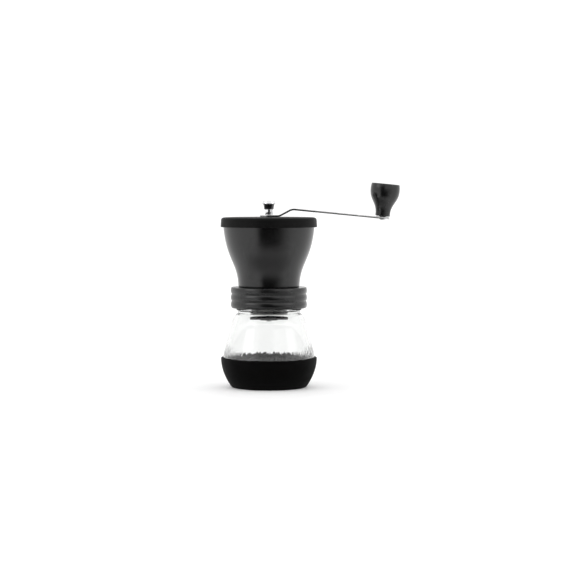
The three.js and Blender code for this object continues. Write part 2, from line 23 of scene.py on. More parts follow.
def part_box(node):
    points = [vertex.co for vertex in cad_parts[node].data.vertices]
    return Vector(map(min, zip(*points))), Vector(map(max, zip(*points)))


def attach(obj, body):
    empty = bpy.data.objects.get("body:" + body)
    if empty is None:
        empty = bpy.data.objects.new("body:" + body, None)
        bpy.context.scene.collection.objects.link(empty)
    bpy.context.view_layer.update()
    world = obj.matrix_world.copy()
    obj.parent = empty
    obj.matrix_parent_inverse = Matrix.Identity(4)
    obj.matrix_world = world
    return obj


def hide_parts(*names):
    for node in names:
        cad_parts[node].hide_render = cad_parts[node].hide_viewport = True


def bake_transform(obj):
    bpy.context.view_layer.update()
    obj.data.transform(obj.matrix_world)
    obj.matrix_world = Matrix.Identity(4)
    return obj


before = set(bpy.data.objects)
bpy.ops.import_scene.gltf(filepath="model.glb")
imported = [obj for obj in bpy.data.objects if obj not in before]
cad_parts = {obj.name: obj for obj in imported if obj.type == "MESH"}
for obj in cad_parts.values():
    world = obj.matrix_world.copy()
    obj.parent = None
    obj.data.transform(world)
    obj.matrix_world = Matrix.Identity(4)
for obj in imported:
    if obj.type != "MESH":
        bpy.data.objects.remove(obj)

MM = 0.001
LOG = logging.getLogger("grinder")
Socket = bpy.types.NodeSocket
Value = Union[Socket, float, int, bool, tuple, bpy.types.Material, bpy.types.Object]
Point = tuple[float, float]
Corner = tuple[float, float, float]
Colour = tuple[float, float, float]


class Sides(Enum):
    """How many sides a turned piece has."""

    LARGE = 192
    MEDIUM = 128
    SMALL = 64


class Cut(Enum):
    """What a tool does to a piece."""

    AWAY = "DIFFERENCE"
    KEEP = "INTERSECT"


class Way(Enum):
    """Whether a socket takes a value in or gives one out."""

    IN = "INPUT"
    OUT = "OUTPUT"


class Flange(Enum):
    """The end of a bearing that has the flange, as the way from the flange to the other end."""

    FOOT = 1
    TOP = -1


# Reading the frame


@dataclass(frozen=True)
class Extent:
    """The levels and radius of a turned CAD node, in millimetres."""

    radius: float
    bottom: float
    top: float

    @classmethod
    def of(cls, node: str) -> Extent:
        """Reads a node's extent.

        Args:
            node: The CAD node's name.

        Returns:
            Its radius, from its size along Y, and its lowest and highest level.
        """
        low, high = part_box(node)
        return cls((high.y - low.y) / 2 / MM, low.z / MM, high.z / MM)


# Outlines and meshes


class Outline:
    """Half of a turned piece's section, in millimetres: distance from the axis, then height."""

    FILLET_STEPS = 5

    def __init__(self, r: float, z: float, fillet: float = 0.0) -> None:
        """Starts at a point.

        Args:
            r: Distance from the axis.
            z: Height.
            fillet: Radius of the rounding of this corner, when the outline is closed.
        """
        self._corners: list[tuple[float, float, float]] = [(r, z, fillet)]

    def to(self, r: float, z: float, fillet: float = 0.0) -> Outline:
        """Draws a straight line to a corner, which is then rounded.

        Args:
            r: Distance from the axis.
            z: Height.
            fillet: Radius of the rounding.

        Returns:
            The outline itself.
        """
        self._corners.append((r, z, fillet))
        return self

    def through(self, points: Sequence[Point]) -> Outline:
        """Draws on through points that already lie on a smooth curve.

        Args:
            points: Pairs of distance and height.

        Returns:
            The outline itself.
        """
        self._corners.extend((r, z, 0.0) for r, z in points)
        return self

    def curve(self, first: Point, second: Point, end: Point, steps: int = 24) -> Outline:
        """Draws a cubic curve from the last point.

        Args:
            first: The first control point.
            second: The second control point.
            end: Where the curve ends.
            steps: How many straight pieces it is made of.

        Returns:
            The outline itself.
        """
        start = self._corners[-1][:2]
        return self.through(cubic(start, first, second, end, steps)[1:])

    def straight(self, r: float, z: float, step: float = 0.25) -> Outline:
        """Draws a straight line in short pieces, for a pattern to be pressed into.

        Args:
            r: Distance from the axis at the line's end.
            z: Height at its end.
            step: Length of each piece.

        Returns:
            The outline itself.
        """
        r0, z0, _ = self._corners[-1]
        count = max(1, round(math.hypot(r - r0, z - z0) / step))
        return self.through(
            [(r0 + (r - r0) * i / count, z0 + (z - z0) * i / count) for i in range(1, count + 1)]
        )

    def points(self) -> tuple[list[Point], list[float]]:
        """Works out the outline's points.

        Returns:
            The points, and for each a 1 where it is on a rounded edge that stands out, or else a 0.
        """
        closed = self._corners[0][0] > 0
        count = len(self._corners)
        points: list[Point] = []
        edges: list[float] = []
        for i, (r, z, fillet) in enumerate(self._corners):
            at_end = not closed and i in (0, count - 1)
            if fillet <= 0 or at_end:
                points.append((r, z))
                edges.append(0.0)
                continue
            before = self._corners[i - 1][:2]
            after = self._corners[(i + 1) % count][:2]
            arc = rounded_corner(before, (r, z), after, fillet, self.FILLET_STEPS)
            points.extend(arc)
            edges.extend([1.0] * len(arc))
        return points, edges


def cubic(start: Point, first: Point, second: Point, end: Point, steps: int) -> list[Point]:
    """Points on a cubic curve.

    Args:
        start: Where it starts.
        first: The first control point.
        second: The second control point.
        end: Where it ends.
        steps: How many straight pieces it is made of.

    Returns:
        Both ends and the points between them.
    """
    t = np.linspace(0, 1, steps + 1)[:, None]
    a, b, c, d = (np.array(p) for p in (start, first, second, end))
    curve = a * (1 - t) ** 3 + 3 * b * t * (1 - t) ** 2 + 3 * c * t**2 * (1 - t) + d * t**3
    return [(float(r), float(z)) for r, z in curve]


def rounded_corner(before: Point, corner: Point, after: Point, radius: float, steps: int) -> list[Point]:
    """Points on the arc that rounds a corner.

    Args:
        before: The point before the corner.
        corner: The corner.
        after: The point after it.
        radius: The arc's radius, made smaller where the lines beside it are short.
        steps: How many straight pieces the arc is made of.

    Returns:
        The arc's points, from the line before the corner to the line after it.
    """
    middle = Vector(corner)
    back = Vector(before) - middle
    on = Vector(after) - middle
    half = back.angle(on) / 2
    reach = min(radius / math.tan(half), 0.46 * back.length, 0.46 * on.length)
    centre = middle + (back.normalized() + on.normalized()).normalized() * (reach / math.cos(half))
    start = middle + back.normalized() * reach - centre
    turn = math.pi - 2 * half
    if back.cross(on) > 0:
        turn = -turn
    arc = [centre + Matrix.Rotation(turn * i / steps, 2) @ start for i in range(steps + 1)]
    return [(p.x, p.y) for p in arc]


def new_piece(name: str, mesh: bpy.types.Mesh) -> bpy.types.Object:
    """Puts a mesh in the scene.

    Args:
        name: The piece's name.
        mesh: Its mesh, in metres.

    Returns:
        The new object, at the origin.
    """
    piece = bpy.data.objects.new(name, mesh)
    bpy.context.scene.collection.objects.link(piece)
    return piece


def shade(mesh: bpy.types.Mesh, sharp_degrees: float = 40.0) -> None:
    """Shades a mesh smooth, with its sharp edges kept.

    Args:
        mesh: The mesh.
        sharp_degrees: The turn between two faces from which their edge is sharp.
    """
    mesh.polygons.foreach_set("use_smooth", [True] * len(mesh.polygons))
    mesh.set_sharp_from_angle(angle=math.radians(sharp_degrees))
    mesh.update()


def face_out(mesh: bpy.types.Mesh) -> None:
    """Turns an inside-out closed mesh the right way."""
    build = bmesh.new()
    build.from_mesh(mesh)
    if build.calc_volume(signed=True) < 0:
        bmesh.ops.reverse_faces(build, faces=build.faces)
        build.to_mesh(mesh)
    build.free()


def turned(name: str, outline: Outline, sides: Sides) -> bpy.types.Object:
    """Turns an outline about the Z axis.

    Args:
        name: The piece's name.
        outline: Its section, closed round a bore or ending on the axis.
        sides: How finely it is divided.

    Returns:
        The piece, with an "edge" attribute that is 1 along its rounded edges.
    """
    points, edges = outline.points()
    closed = points[0][0] > 0
    angles = np.linspace(0, 2 * math.pi, sides.value, endpoint=False)
    around = np.stack([np.cos(angles), np.sin(angles)], axis=1)
    vertices: list[np.ndarray] = []
    rings: list[list[int]] = []
    worn: list[float] = []
    for (r, z), edge in zip(points, edges):
        first = len(worn)
        on_axis = r < 1e-6
        spots = np.zeros((1, 2)) if on_axis else around * r
        vertices.append(np.column_stack([spots, np.full(len(spots), z)]) * MM)
        worn.extend([edge] * len(spots))
        rings.append([first] * sides.value if on_axis else list(range(first, first + sides.value)))
    faces: list[list[int]] = []
    for i in range(len(rings) if closed else len(rings) - 1):
        low, high = rings[i], rings[(i + 1) % len(rings)]
        for k in range(sides.value):
            j = (k + 1) % sides.value
            face = [low[k], low[j], high[j], high[k]]
            faces.append(list(dict.fromkeys(face)))
    mesh = bpy.data.meshes.new(name)
    mesh.from_pydata(np.concatenate(vertices).tolist(), [], faces)
    mesh.attributes.new("edge", "FLOAT", "POINT").data.foreach_set("value", worn)
    face_out(mesh)
    shade(mesh)
    return new_piece(name, mesh)


def prism(name: str, outline: Sequence[Point], low: float, high: float, bevel: float = 0.0) -> bpy.types.Object:
    """Raises a flat outline along Z.

    Args:
        name: The piece's name.
        outline: Its corners in X and Y, in millimetres.
        low: The level of its underside.
        high: The level of its top.
        bevel: Width of the bevel on its sharp edges.

    Returns:
        The piece.
    """
    build = bmesh.new()
    corners = [build.verts.new((x * MM, y * MM, low * MM)) for x, y in outline]
    base = build.faces.new(corners)
    raised = bmesh.ops.extrude_face_region(build, geom=[base])["geom"]
    tops = [g for g in raised if isinstance(g, bmesh.types.BMVert)]
    bmesh.ops.translate(build, verts=tops, vec=(0, 0, (high - low) * MM))
    bmesh.ops.recalc_face_normals(build, faces=build.faces)
    mesh = bpy.data.meshes.new(name)
    build.to_mesh(mesh)
    build.free()
    face_out(mesh)
    piece = new_piece(name, mesh)
    if bevel > 0:
        bevelled(piece, bevel)
    shade(piece.data)
    return piece


def keep_modifiers(piece: bpy.types.Object) -> None:
    """Makes what a piece's modifiers show its plain mesh, and removes them."""
    graph = bpy.context.evaluated_depsgraph_get()
    shown = piece.evaluated_get(graph)
    mesh = bpy.data.meshes.new_from_object(shown, preserve_all_data_layers=True, depsgraph=graph)
    old = piece.data
    piece.modifiers.clear()
    piece.data = mesh
    mesh.name = old.name
    bpy.data.meshes.remove(old)


def bevelled(piece: bpy.types.Object, width: float, segments: int = 3, degrees: float = 35.0) -> None:
    """Rounds a piece's sharp edges.

    Args:
        piece: The piece.
        width: The bevel's width in millimetres.
        segments: How many faces round each edge.
        degrees: The turn between two faces from which their edge is rounded.
    """
    bevel = piece.modifiers.new("bevel", "BEVEL")
    bevel.width = width * MM
    bevel.segments = segments
    bevel.limit_method = "ANGLE"
    bevel.angle_limit = math.radians(degrees)
    bevel.use_clamp_overlap = True
    keep_modifiers(piece)
    shade(piece.data)


def combined(piece: bpy.types.Object, tool: bpy.types.Object, cut: Cut) -> None:
    """Cuts a piece with a tool, which is then removed.

    Args:
        piece: The piece that stays.
        tool: The shape that works on it.
        cut: Whether the tool's shape is cut away or kept.
    """
    boolean = piece.modifiers.new("boolean", "BOOLEAN")
    boolean.operation = cut.value
    boolean.object = tool
    boolean.solver = "EXACT"
    keep_modifiers(piece)
    discard(tool)


def discard(piece: bpy.types.Object) -> None:
    """Removes an object and its mesh."""
    mesh = piece.data
    bpy.data.objects.remove(piece)
    bpy.data.meshes.remove(mesh)


def joined(name: str, parts: Sequence[bpy.types.Object]) -> bpy.types.Object:
    """Makes several pieces one.

    Args:
        name: The new piece's name.
        parts: What it is made of. They are removed.

    Returns:
        The new piece.
    """
    build = bmesh.new()
    for part in parts:
        build.from_mesh(part.data)
    mesh = bpy.data.meshes.new(name)
    build.to_mesh(mesh)
    build.free()
    for part in parts:
        discard(part)
    return new_piece(name, mesh)


def circle(radius: float, sides: int, start: float = 0.0, sweep: float = 360.0) -> list[Point]:
    """Points round a circle or an arc.

    Args:
        radius: The circle's radius.
        sides: How many pieces it has.
        start: Where it starts, in degrees.
        sweep: How far it goes. A full circle leaves out its last point.

    Returns:
        The points.
    """
    count = sides if abs(sweep) >= 360 else sides + 1
    turns = [math.radians(start + sweep * i / sides) for i in range(count)]
    return [(radius * math.cos(t), radius * math.sin(t)) for t in turns]


# Node trees


class Tree:
    """Adds nodes to a tree, with their inputs given as values or as other nodes' outputs."""

    def __init__(self, tree: bpy.types.NodeTree) -> None:
        """Takes a tree to add to.

        Args:
            tree: The node tree.
        """
        self.tree = tree

    def node(self, kind: str, inputs: dict | None = None, **settings: Value) -> bpy.types.Node:
        """Adds a node.

        Args:
            kind: The node's type.
            inputs: Its inputs by name or number.
            settings: Its properties.

        Returns:
            The node.
        """
        node = self.tree.nodes.new(kind)
        for name, value in settings.items():
            setattr(node, name, value)
        for key, value in (inputs or {}).items():
            self.feed(node.inputs[key], value)
        return node

    def feed(self, socket: Socket, value: Value) -> None:
        """Links an output to an input, or sets the input's own value."""
        if isinstance(value, bpy.types.NodeSocket):
            self.tree.links.new(value, socket)
        else:
            socket.default_value = value

    def math(self, operation: str, *values: Value, clamp: bool = False) -> Socket:
        """Adds a Math node.

        Args:
            operation: What it does.
            values: Its inputs.
            clamp: Whether its result is kept from 0 to 1.

        Returns:
            Its output.
        """
        kind = "ShaderNodeMath"
        node = self.node(kind, dict(enumerate(values)), operation=operation, use_clamp=clamp)
        return node.outputs[0]

    def ramp(self, value: Value, low: Value, high: Value, to_low: Value = 0.0, to_high: Value = 1.0) -> Socket:
        """Maps a range of values smoothly to another.

        Args:
            value: What is mapped.
            low: The start of its range.
            high: The end of its range.
            to_low: What low becomes.
            to_high: What high becomes.

        Returns:
            The mapped value.
        """
        inputs = {"Value": value, "From Min": low, "From Max": high, "To Min": to_low, "To Max": to_high}
        node = self.node("ShaderNodeMapRange", inputs, interpolation_type="SMOOTHSTEP")
        return node.outputs["Result"]

    def split(self, vector: Socket) -> tuple[Socket, Socket, Socket]:
        """The X, Y and Z of a vector."""
        node = self.node("ShaderNodeSeparateXYZ", {0: vector})
        return node.outputs[0], node.outputs[1], node.outputs[2]

    def combine(self, x: Value, y: Value, z: Value) -> Socket:
        """A vector of X, Y and Z."""
        return self.node("ShaderNodeCombineXYZ", {0: x, 1: y, 2: z}).outputs[0]


def add_socket(tree: bpy.types.NodeTree, name: str, kind: str, way: Way, value: Value | None = None) -> None:
    """Adds an input or output to a node group.

    Args:
        tree: The group.
        name: The socket's name.
        kind: Float, Vector, Int, Color, Geometry or Material.
        way: In or out.
        value: An input's value when none is given.
    """
    socket = tree.interface.new_socket(name=name, in_out=way.value, socket_type="NodeSocket" + kind)
    if value is not None:
        socket.default_value = value


# Geometry node trees


class GeometryTree:
    """A geometry node tree with named inputs that ends in Realize Instances and Set Material."""

    def __init__(self, name: str, inputs: dict[str, tuple[str, Value | None]]) -> None:
        """Starts the tree.

        Args:
            name: Its name.
            inputs: Each input's kind and value, by name.
        """
        self.group = bpy.data.node_groups.new(name, "GeometryNodeTree")
        add_socket(self.group, "Geometry", "Geometry", Way.IN)
        for label, (kind, value) in inputs.items():
            add_socket(self.group, label, kind, Way.IN, value)
        add_socket(self.group, "Material", "Material", Way.IN)
        add_socket(self.group, "Geometry", "Geometry", Way.OUT)
        self.nodes = Tree(self.group)
        self.given = self.nodes.node("NodeGroupInput").outputs

    def polar(self) -> tuple[Socket, Socket, Socket, Socket]:
        """Each point's distance from the axis, turns round it from 0 to 1, height, and outward direction."""
        position = self.nodes.node("GeometryNodeInputPosition").outputs[0]
        x, y, z = self.nodes.split(position)
        flat = self.nodes.combine(x, y, 0.0)
        distance = self.nodes.node("ShaderNodeVectorMath", {0: flat}, operation="LENGTH").outputs["Value"]
        outward = self.nodes.node("ShaderNodeVectorMath", {0: flat}, operation="NORMALIZE").outputs["Vector"]
        turns = self.nodes.math("DIVIDE", self.nodes.math("ARCTAN2", y, x), 2 * math.pi)
        return distance, self.nodes.math("FRACT", self.nodes.math("ADD", turns, 1.0)), z, outward

    def push(self, geometry: Socket, outward: Socket, amount: Socket) -> Socket:
        """Moves each point outward by an amount.

        Args:
            geometry: What is moved.
            outward: Each point's direction.
            amount: How far it goes.

        Returns:
            The moved geometry.
        """
        offset = self.nodes.node("ShaderNodeVectorMath", {0: outward, "Scale": amount}, operation="SCALE")
        moved = self.nodes.node("GeometryNodeSetPosition", {"Geometry": geometry, "Offset": offset.outputs[0]})
        return moved.outputs[0]

    def end(self, geometry: Socket) -> GeometryTree:
        """Ends the tree.

        Args:
            geometry: What it makes.

        Returns:
            The tree itself.
        """
        real = self.nodes.node("GeometryNodeRealizeInstances", {"Geometry": geometry}).outputs[0]
        dress = {"Geometry": real, "Material": self.given["Material"]}
        dressed = self.nodes.node("GeometryNodeSetMaterial", dress)
        self.nodes.node("NodeGroupOutput", {0: dressed.outputs[0]})
        return self

    def apply(self, piece: bpy.types.Object, material: bpy.types.Material, **values: Value) -> None:
        """Runs the tree on a piece and keeps the result as its plain mesh.

        Args:
            piece: The piece.
            material: The material that the tree gives it.
            values: The tree's other inputs, by name, with _ for a space.
        """
        modifier = piece.modifiers.new(self.group.name, "NODES")
        modifier.node_group = self.group
        wanted = {name.replace("_", " "): value for name, value in values.items()}
        wanted["Material"] = material
        for item in self.group.interface.items_tree:
            if item.in_out == Way.IN.value and item.name in wanted:
                modifier[item.identifier] = wanted.pop(item.name)
        if wanted:
            raise KeyError(f"{self.group.name} has no input named {sorted(wanted)}")
        keep_modifiers(piece)
        shade(piece.data)


class ScrewThread(GeometryTree):
    """Raises a helical ridge from a round wall, running out at both ends."""

    REACH = 0.00008

    def __init__(self) -> None:
        """Builds the tree."""
        super().__init__(
            "screw thread",
            {
                "Wall": ("Float", 0.03),
                "Height": ("Float", 0.001),
                "Width": ("Float", 0.001),
                "Pitch": ("Float", 0.004),
                "Start": ("Float", 0.0),
                "Turns": ("Float", 2.0),
                "Run out": ("Float", 0.08),
            },
        )
        n, given = self.nodes, self.given
        distance, turn, z, outward = self.polar()
        climbed = n.math("DIVIDE", n.math("SUBTRACT", z, given["Start"]), given["Pitch"])
        ahead = n.math("SUBTRACT", climbed, turn)
        lap = n.math("ROUND", ahead)
        off = n.math("MULTIPLY", n.math("ABSOLUTE", n.math("SUBTRACT", ahead, lap)), given["Pitch"])
        half = n.math("MULTIPLY", given["Width"], 0.5)
        flank = n.ramp(off, half, n.math("MULTIPLY", half, 0.25))
        along = n.math("ADD", lap, turn)
        start_fade = n.ramp(along, 0.0, given["Run out"])
        end_fade = n.ramp(n.math("SUBTRACT", given["Turns"], along), 0.0, given["Run out"])
        near = n.math("LESS_THAN", n.math("ABSOLUTE", n.math("SUBTRACT", distance, given["Wall"])), self.REACH)
        shape = n.math("MULTIPLY", n.math("MULTIPLY", flank, start_fade), n.math("MULTIPLY", end_fade, near))
        rise = n.math("MULTIPLY", shape, given["Height"])
        self.end(self.push(given["Geometry"], outward, rise))


class RimFlutes(GeometryTree):
    """Presses even round flutes into a rim."""

    def __init__(self) -> None:
        """Builds the tree."""
        super().__init__(
            "rim flutes",
            {
                "Count": ("Float", 24.0),
                "Depth": ("Float", 0.0005),
                "From": ("Float", 0.0),
                "Full": ("Float", 0.01),
            },
        )
        n, given = self.nodes, self.given
        distance, turn, _, outward = self.polar()
        angle = n.math("MULTIPLY", n.math("MULTIPLY", turn, given["Count"]), 2 * math.pi)
        wave = n.math("SUBTRACT", n.math("MULTIPLY", n.math("COSINE", angle), 0.5), 0.5)
        share = n.ramp(distance, given["From"], given["Full"])
        depth = n.math("MULTIPLY", n.math("MULTIPLY", wave, share), given["Depth"])
        self.end(self.push(given["Geometry"], outward, depth))


class BurrTeeth(GeometryTree):
    """Presses leaning saw teeth into a burr's working face."""

    def __init__(self) -> None:
        """Builds the tree."""
        super().__init__(
            "burr teeth",
            {
                "Teeth": ("Float", 12.0),
                "Lean": ("Float", 0.1),
                "Low": ("Float", 0.0),
                "High": ("Float", 0.01),
                "Fine depth": ("Float", 0.0005),
                "Coarse depth": ("Float", 0.0015),
                "Inside of": ("Float", 1.0),
                "Outside of": ("Float", 0.0),
            },
        )
        n, given = self.nodes, self.given
        distance, turn, z, outward = self.polar()
        climbed = n.math("SUBTRACT", z, given["Low"])
        height = n.math("DIVIDE", climbed, n.math("SUBTRACT", given["High"], given["Low"]))
        leant = n.math("SUBTRACT", turn, n.math("MULTIPLY", height, given["Lean"]))
        phase = n.math("FRACT", n.math("ADD", n.math("MULTIPLY", leant, given["Teeth"]), 40.0))
        slope = n.ramp(phase, 0.0, 0.82)
        face = n.ramp(phase, 0.86, 1.0, 1.0, 0.0)
        saw = n.math("MULTIPLY", slope, face)
        depth = n.ramp(height, 0.0, 1.0, given["Fine depth"], given["Coarse depth"])
        lead_in = n.ramp(climbed, -0.0001, 0.0005)
        lead_out = n.ramp(n.math("SUBTRACT", given["High"], z), -0.0001, 0.0003)
        inside = n.math("LESS_THAN", distance, given["Inside of"])
        outside = n.math("GREATER_THAN", distance, given["Outside of"])
        chosen = n.math("MULTIPLY", n.math("MULTIPLY", inside, outside), n.math("MULTIPLY", lead_in, lead_out))
        amount = n.math("MULTIPLY", n.math("MULTIPLY", saw, depth), chosen)
        self.end(self.push(given["Geometry"], outward, amount))


class CoilSpring(GeometryTree):
    """Winds a round wire, with its end turns closed up flat."""

    POINTS = 321
    WIRE_SIDES = 12

    def __init__(self) -> None:
        """Builds the tree."""
        super().__init__(
            "coil spring",
            {
                "Radius": ("Float", 0.005),
                "Wire": ("Float", 0.0005),
                "Low": ("Float", 0.0),
                "High": ("Float", 0.01),
                "Turns": ("Float", 5.0),
                "Closed": ("Float", 0.12),
            },
        )
        n, given = self.nodes, self.given
        line = n.node("GeometryNodeCurvePrimitiveLine", {"End": (0.0, 0.0, 1.0)}).outputs[0]
        points = n.node("GeometryNodeResampleCurve", {"Curve": line, "Count": self.POINTS}).outputs[0]
        share = n.node("GeometryNodeSplineParameter").outputs["Factor"]
        angle = n.math("MULTIPLY", n.math("MULTIPLY", share, given["Turns"]), 2 * math.pi)
        climb = n.ramp(share, given["Closed"], n.math("SUBTRACT", 1.0, given["Closed"]))
        length = n.math("SUBTRACT", given["High"], given["Low"])
        level = n.math("ADD", given["Low"], n.math("MULTIPLY", climb, length))
        x = n.math("MULTIPLY", n.math("COSINE", angle), given["Radius"])
        y = n.math("MULTIPLY", n.math("SINE", angle), given["Radius"])
        place = {"Geometry": points, "Position": n.combine(x, y, level)}
        wound = n.node("GeometryNodeSetPosition", place).outputs[0]
        ring = {"Resolution": self.WIRE_SIDES, "Radius": given["Wire"]}
        section = n.node("GeometryNodeCurvePrimitiveCircle", ring).outputs[0]
        wire = n.node("GeometryNodeCurveToMesh", {"Curve": wound, "Profile Curve": section, "Fill Caps": True})
        self.end(wire.outputs[0])


class RoundArray(GeometryTree):
    """Sets copies of a piece evenly round the Z axis."""

    def __init__(self) -> None:
        """Builds the tree."""
        super().__init__("round array", {"Count": ("Int", 3)})
        n, given = self.nodes, self.given
        spots = n.node("GeometryNodeMeshLine", {"Count": given["Count"], "Offset": (0.0, 0.0, 0.0)}).outputs[0]
        index = n.node("GeometryNodeInputIndex").outputs[0]
        turn = n.math("MULTIPLY", n.math("DIVIDE", index, given["Count"]), 2 * math.pi)
        placed = n.node(
            "GeometryNodeInstanceOnPoints",
            {"Points": spots, "Instance": given["Geometry"], "Rotation": n.combine(0.0, 0.0, turn)},
        )
        self.end(placed.outputs[0])


# Shader node groups


class ShaderGroup:
    """A shader node group with named inputs, whose outputs are masks, values or heights."""

    def __init__(self, name: str, inputs: dict[str, float], outputs: Sequence[str]) -> None:
        """Starts the group.

        Args:
            name: Its name.
            inputs: Its float inputs and their values.
            outputs: Its float outputs.
        """
        self.group = bpy.data.node_groups.new(name, "ShaderNodeTree")
        for label, value in inputs.items():
            add_socket(self.group, label, "Float", Way.IN, value)
        for label in outputs:
            add_socket(self.group, label, "Float", Way.OUT)
        self.nodes = Tree(self.group)
        self.given = self.nodes.node("NodeGroupInput").outputs
        self.result = self.nodes.node("NodeGroupOutput").inputs

    def here(self) -> Socket:
        """The point's place in the piece's own coordinates."""
        return self.nodes.node("ShaderNodeTexCoord").outputs["Object"]

    def noise(self, vector: Socket, scale: Value, detail: float = 2.0, roughness: float = 0.5) -> Socket:
        """A noise texture's value.

        Args:
            vector: Where it is read.
            scale: How fine it is, in bumps to a metre.
            detail: How many finer layers it has.
            roughness: How strong those are.

        Returns:
            The value, from 0 to 1.
        """
        inputs = {"Vector": vector, "Scale": scale, "Detail": detail, "Roughness": roughness}
        return self.nodes.node("ShaderNodeTexNoise", inputs).outputs[0]


class MouldedGrain(ShaderGroup):
    """The fine spark-eroded grain of a mould, with a slow unevenness under it."""

    def __init__(self) -> None:
        """Builds the group."""
        super().__init__("moulded grain", {"Scale": 3000.0, "Flow": 60.0}, ["Height", "Unevenness"])
        fine = self.noise(self.here(), self.given["Scale"], 3.0, 0.6)
        slow = self.noise(self.here(), self.given["Flow"], 1.0)
        self.nodes.feed(self.result["Height"], fine)
        self.nodes.feed(self.result["Unevenness"], slow)


class EdgeWear(ShaderGroup):
    """A broken mask along the edges that hands and bags rub."""

    def __init__(self) -> None:
        """Builds the group."""
        super().__init__("edge wear", {"Amount": 0.5, "Scale": 400.0}, ["Mask"])
        edge = self.nodes.node("ShaderNodeAttribute", attribute_name="edge").outputs["Fac"]
        patches = self.noise(self.here(), self.given["Scale"], 3.0, 0.65)
        broken = self.nodes.ramp(patches, 0.42, 0.62)
        mask = self.nodes.math("MULTIPLY", self.nodes.math("MULTIPLY", edge, broken), self.given["Amount"])
        self.nodes.feed(self.result["Mask"], mask)


class HandMarks(ShaderGroup):
    """Faint smears and dust from handling, as a mask."""

    def __init__(self) -> None:
        """Builds the group."""
        super().__init__("hand marks", {"Smear scale": 35.0, "Dust scale": 900.0}, ["Smears", "Dust"])
        smears = self.nodes.ramp(self.noise(self.here(), self.given["Smear scale"], 4.0, 0.6), 0.45, 0.75)
        dust = self.nodes.ramp(self.noise(self.here(), self.given["Dust scale"], 2.0, 0.5), 0.68, 0.78)
        self.nodes.feed(self.result["Smears"], smears)
        self.nodes.feed(self.result["Dust"], dust)


class TurningLines(ShaderGroup):
    """The fine rings that a lathe leaves round the Z axis."""

    def __init__(self) -> None:
        """Builds the group."""
        super().__init__("turning lines", {"Scale": 4000.0}, ["Height"])
        x, y, z = self.nodes.split(self.here())
        flat = self.nodes.combine(x, y, 0.0)
        distance = self.nodes.node("ShaderNodeVectorMath", {0: flat}, operation="LENGTH").outputs["Value"]
        line = self.nodes.combine(distance, 0.0, z)
        self.nodes.feed(self.result["Height"], self.noise(line, self.given["Scale"], 2.0, 0.7))


class BrushLines(ShaderGroup):
    """The long fine scratches of a strip polished along X."""

    def __init__(self) -> None:
        """Builds the group."""
        super().__init__("brush lines", {"Scale": 6000.0, "Stretch": 0.01}, ["Height", "Streaks"])
        x, y, z = self.nodes.split(self.here())
        drawn = self.nodes.combine(self.nodes.math("MULTIPLY", x, self.given["Stretch"]), y, z)
        self.nodes.feed(self.result["Height"], self.noise(drawn, self.given["Scale"], 3.0, 0.7))
        self.nodes.feed(self.result["Streaks"], self.noise(drawn, 900.0, 2.0, 0.6))


class FlowLines(ShaderGroup):
    """The upright waves that pressing leaves in glass, strongest below a level."""

    def __init__(self) -> None:
        """Builds the group."""
        inputs = {"Scale": 420.0, "Full below": 0.034, "None above": 0.044}
        super().__init__("flow lines", inputs, ["Height", "Share"])
        x, y, z = self.nodes.split(self.here())
        drawn = self.nodes.combine(x, y, self.nodes.math("MULTIPLY", z, 0.07))
        share = self.nodes.ramp(z, self.given["Full below"], self.given["None above"], 1.0, 0.0)
        self.nodes.feed(self.result["Height"], self.noise(drawn, self.given["Scale"], 2.5, 0.6))
        self.nodes.feed(self.result["Share"], share)


class HeightBand(ShaderGroup):
    """A mask between two heights."""

    def __init__(self) -> None:
        """Builds the group."""
        super().__init__("height band", {"Low": 0.0, "High": 0.01}, ["Mask"])
        _, _, z = self.nodes.split(self.here())
        above = self.nodes.math("GREATER_THAN", z, self.given["Low"])
        below = self.nodes.math("LESS_THAN", z, self.given["High"])
        self.nodes.feed(self.result["Mask"], self.nodes.math("MULTIPLY", above, below))


@dataclass(frozen=True)
class Effects:
    """The shader groups that finishes share."""

    grain: ShaderGroup = field(default_factory=MouldedGrain)
    wear: ShaderGroup = field(default_factory=EdgeWear)
    marks: ShaderGroup = field(default_factory=HandMarks)
    rings: ShaderGroup = field(default_factory=TurningLines)
    brush: ShaderGroup = field(default_factory=BrushLines)
    flow: ShaderGroup = field(default_factory=FlowLines)
    band: ShaderGroup = field(default_factory=HeightBand)


# Finishes


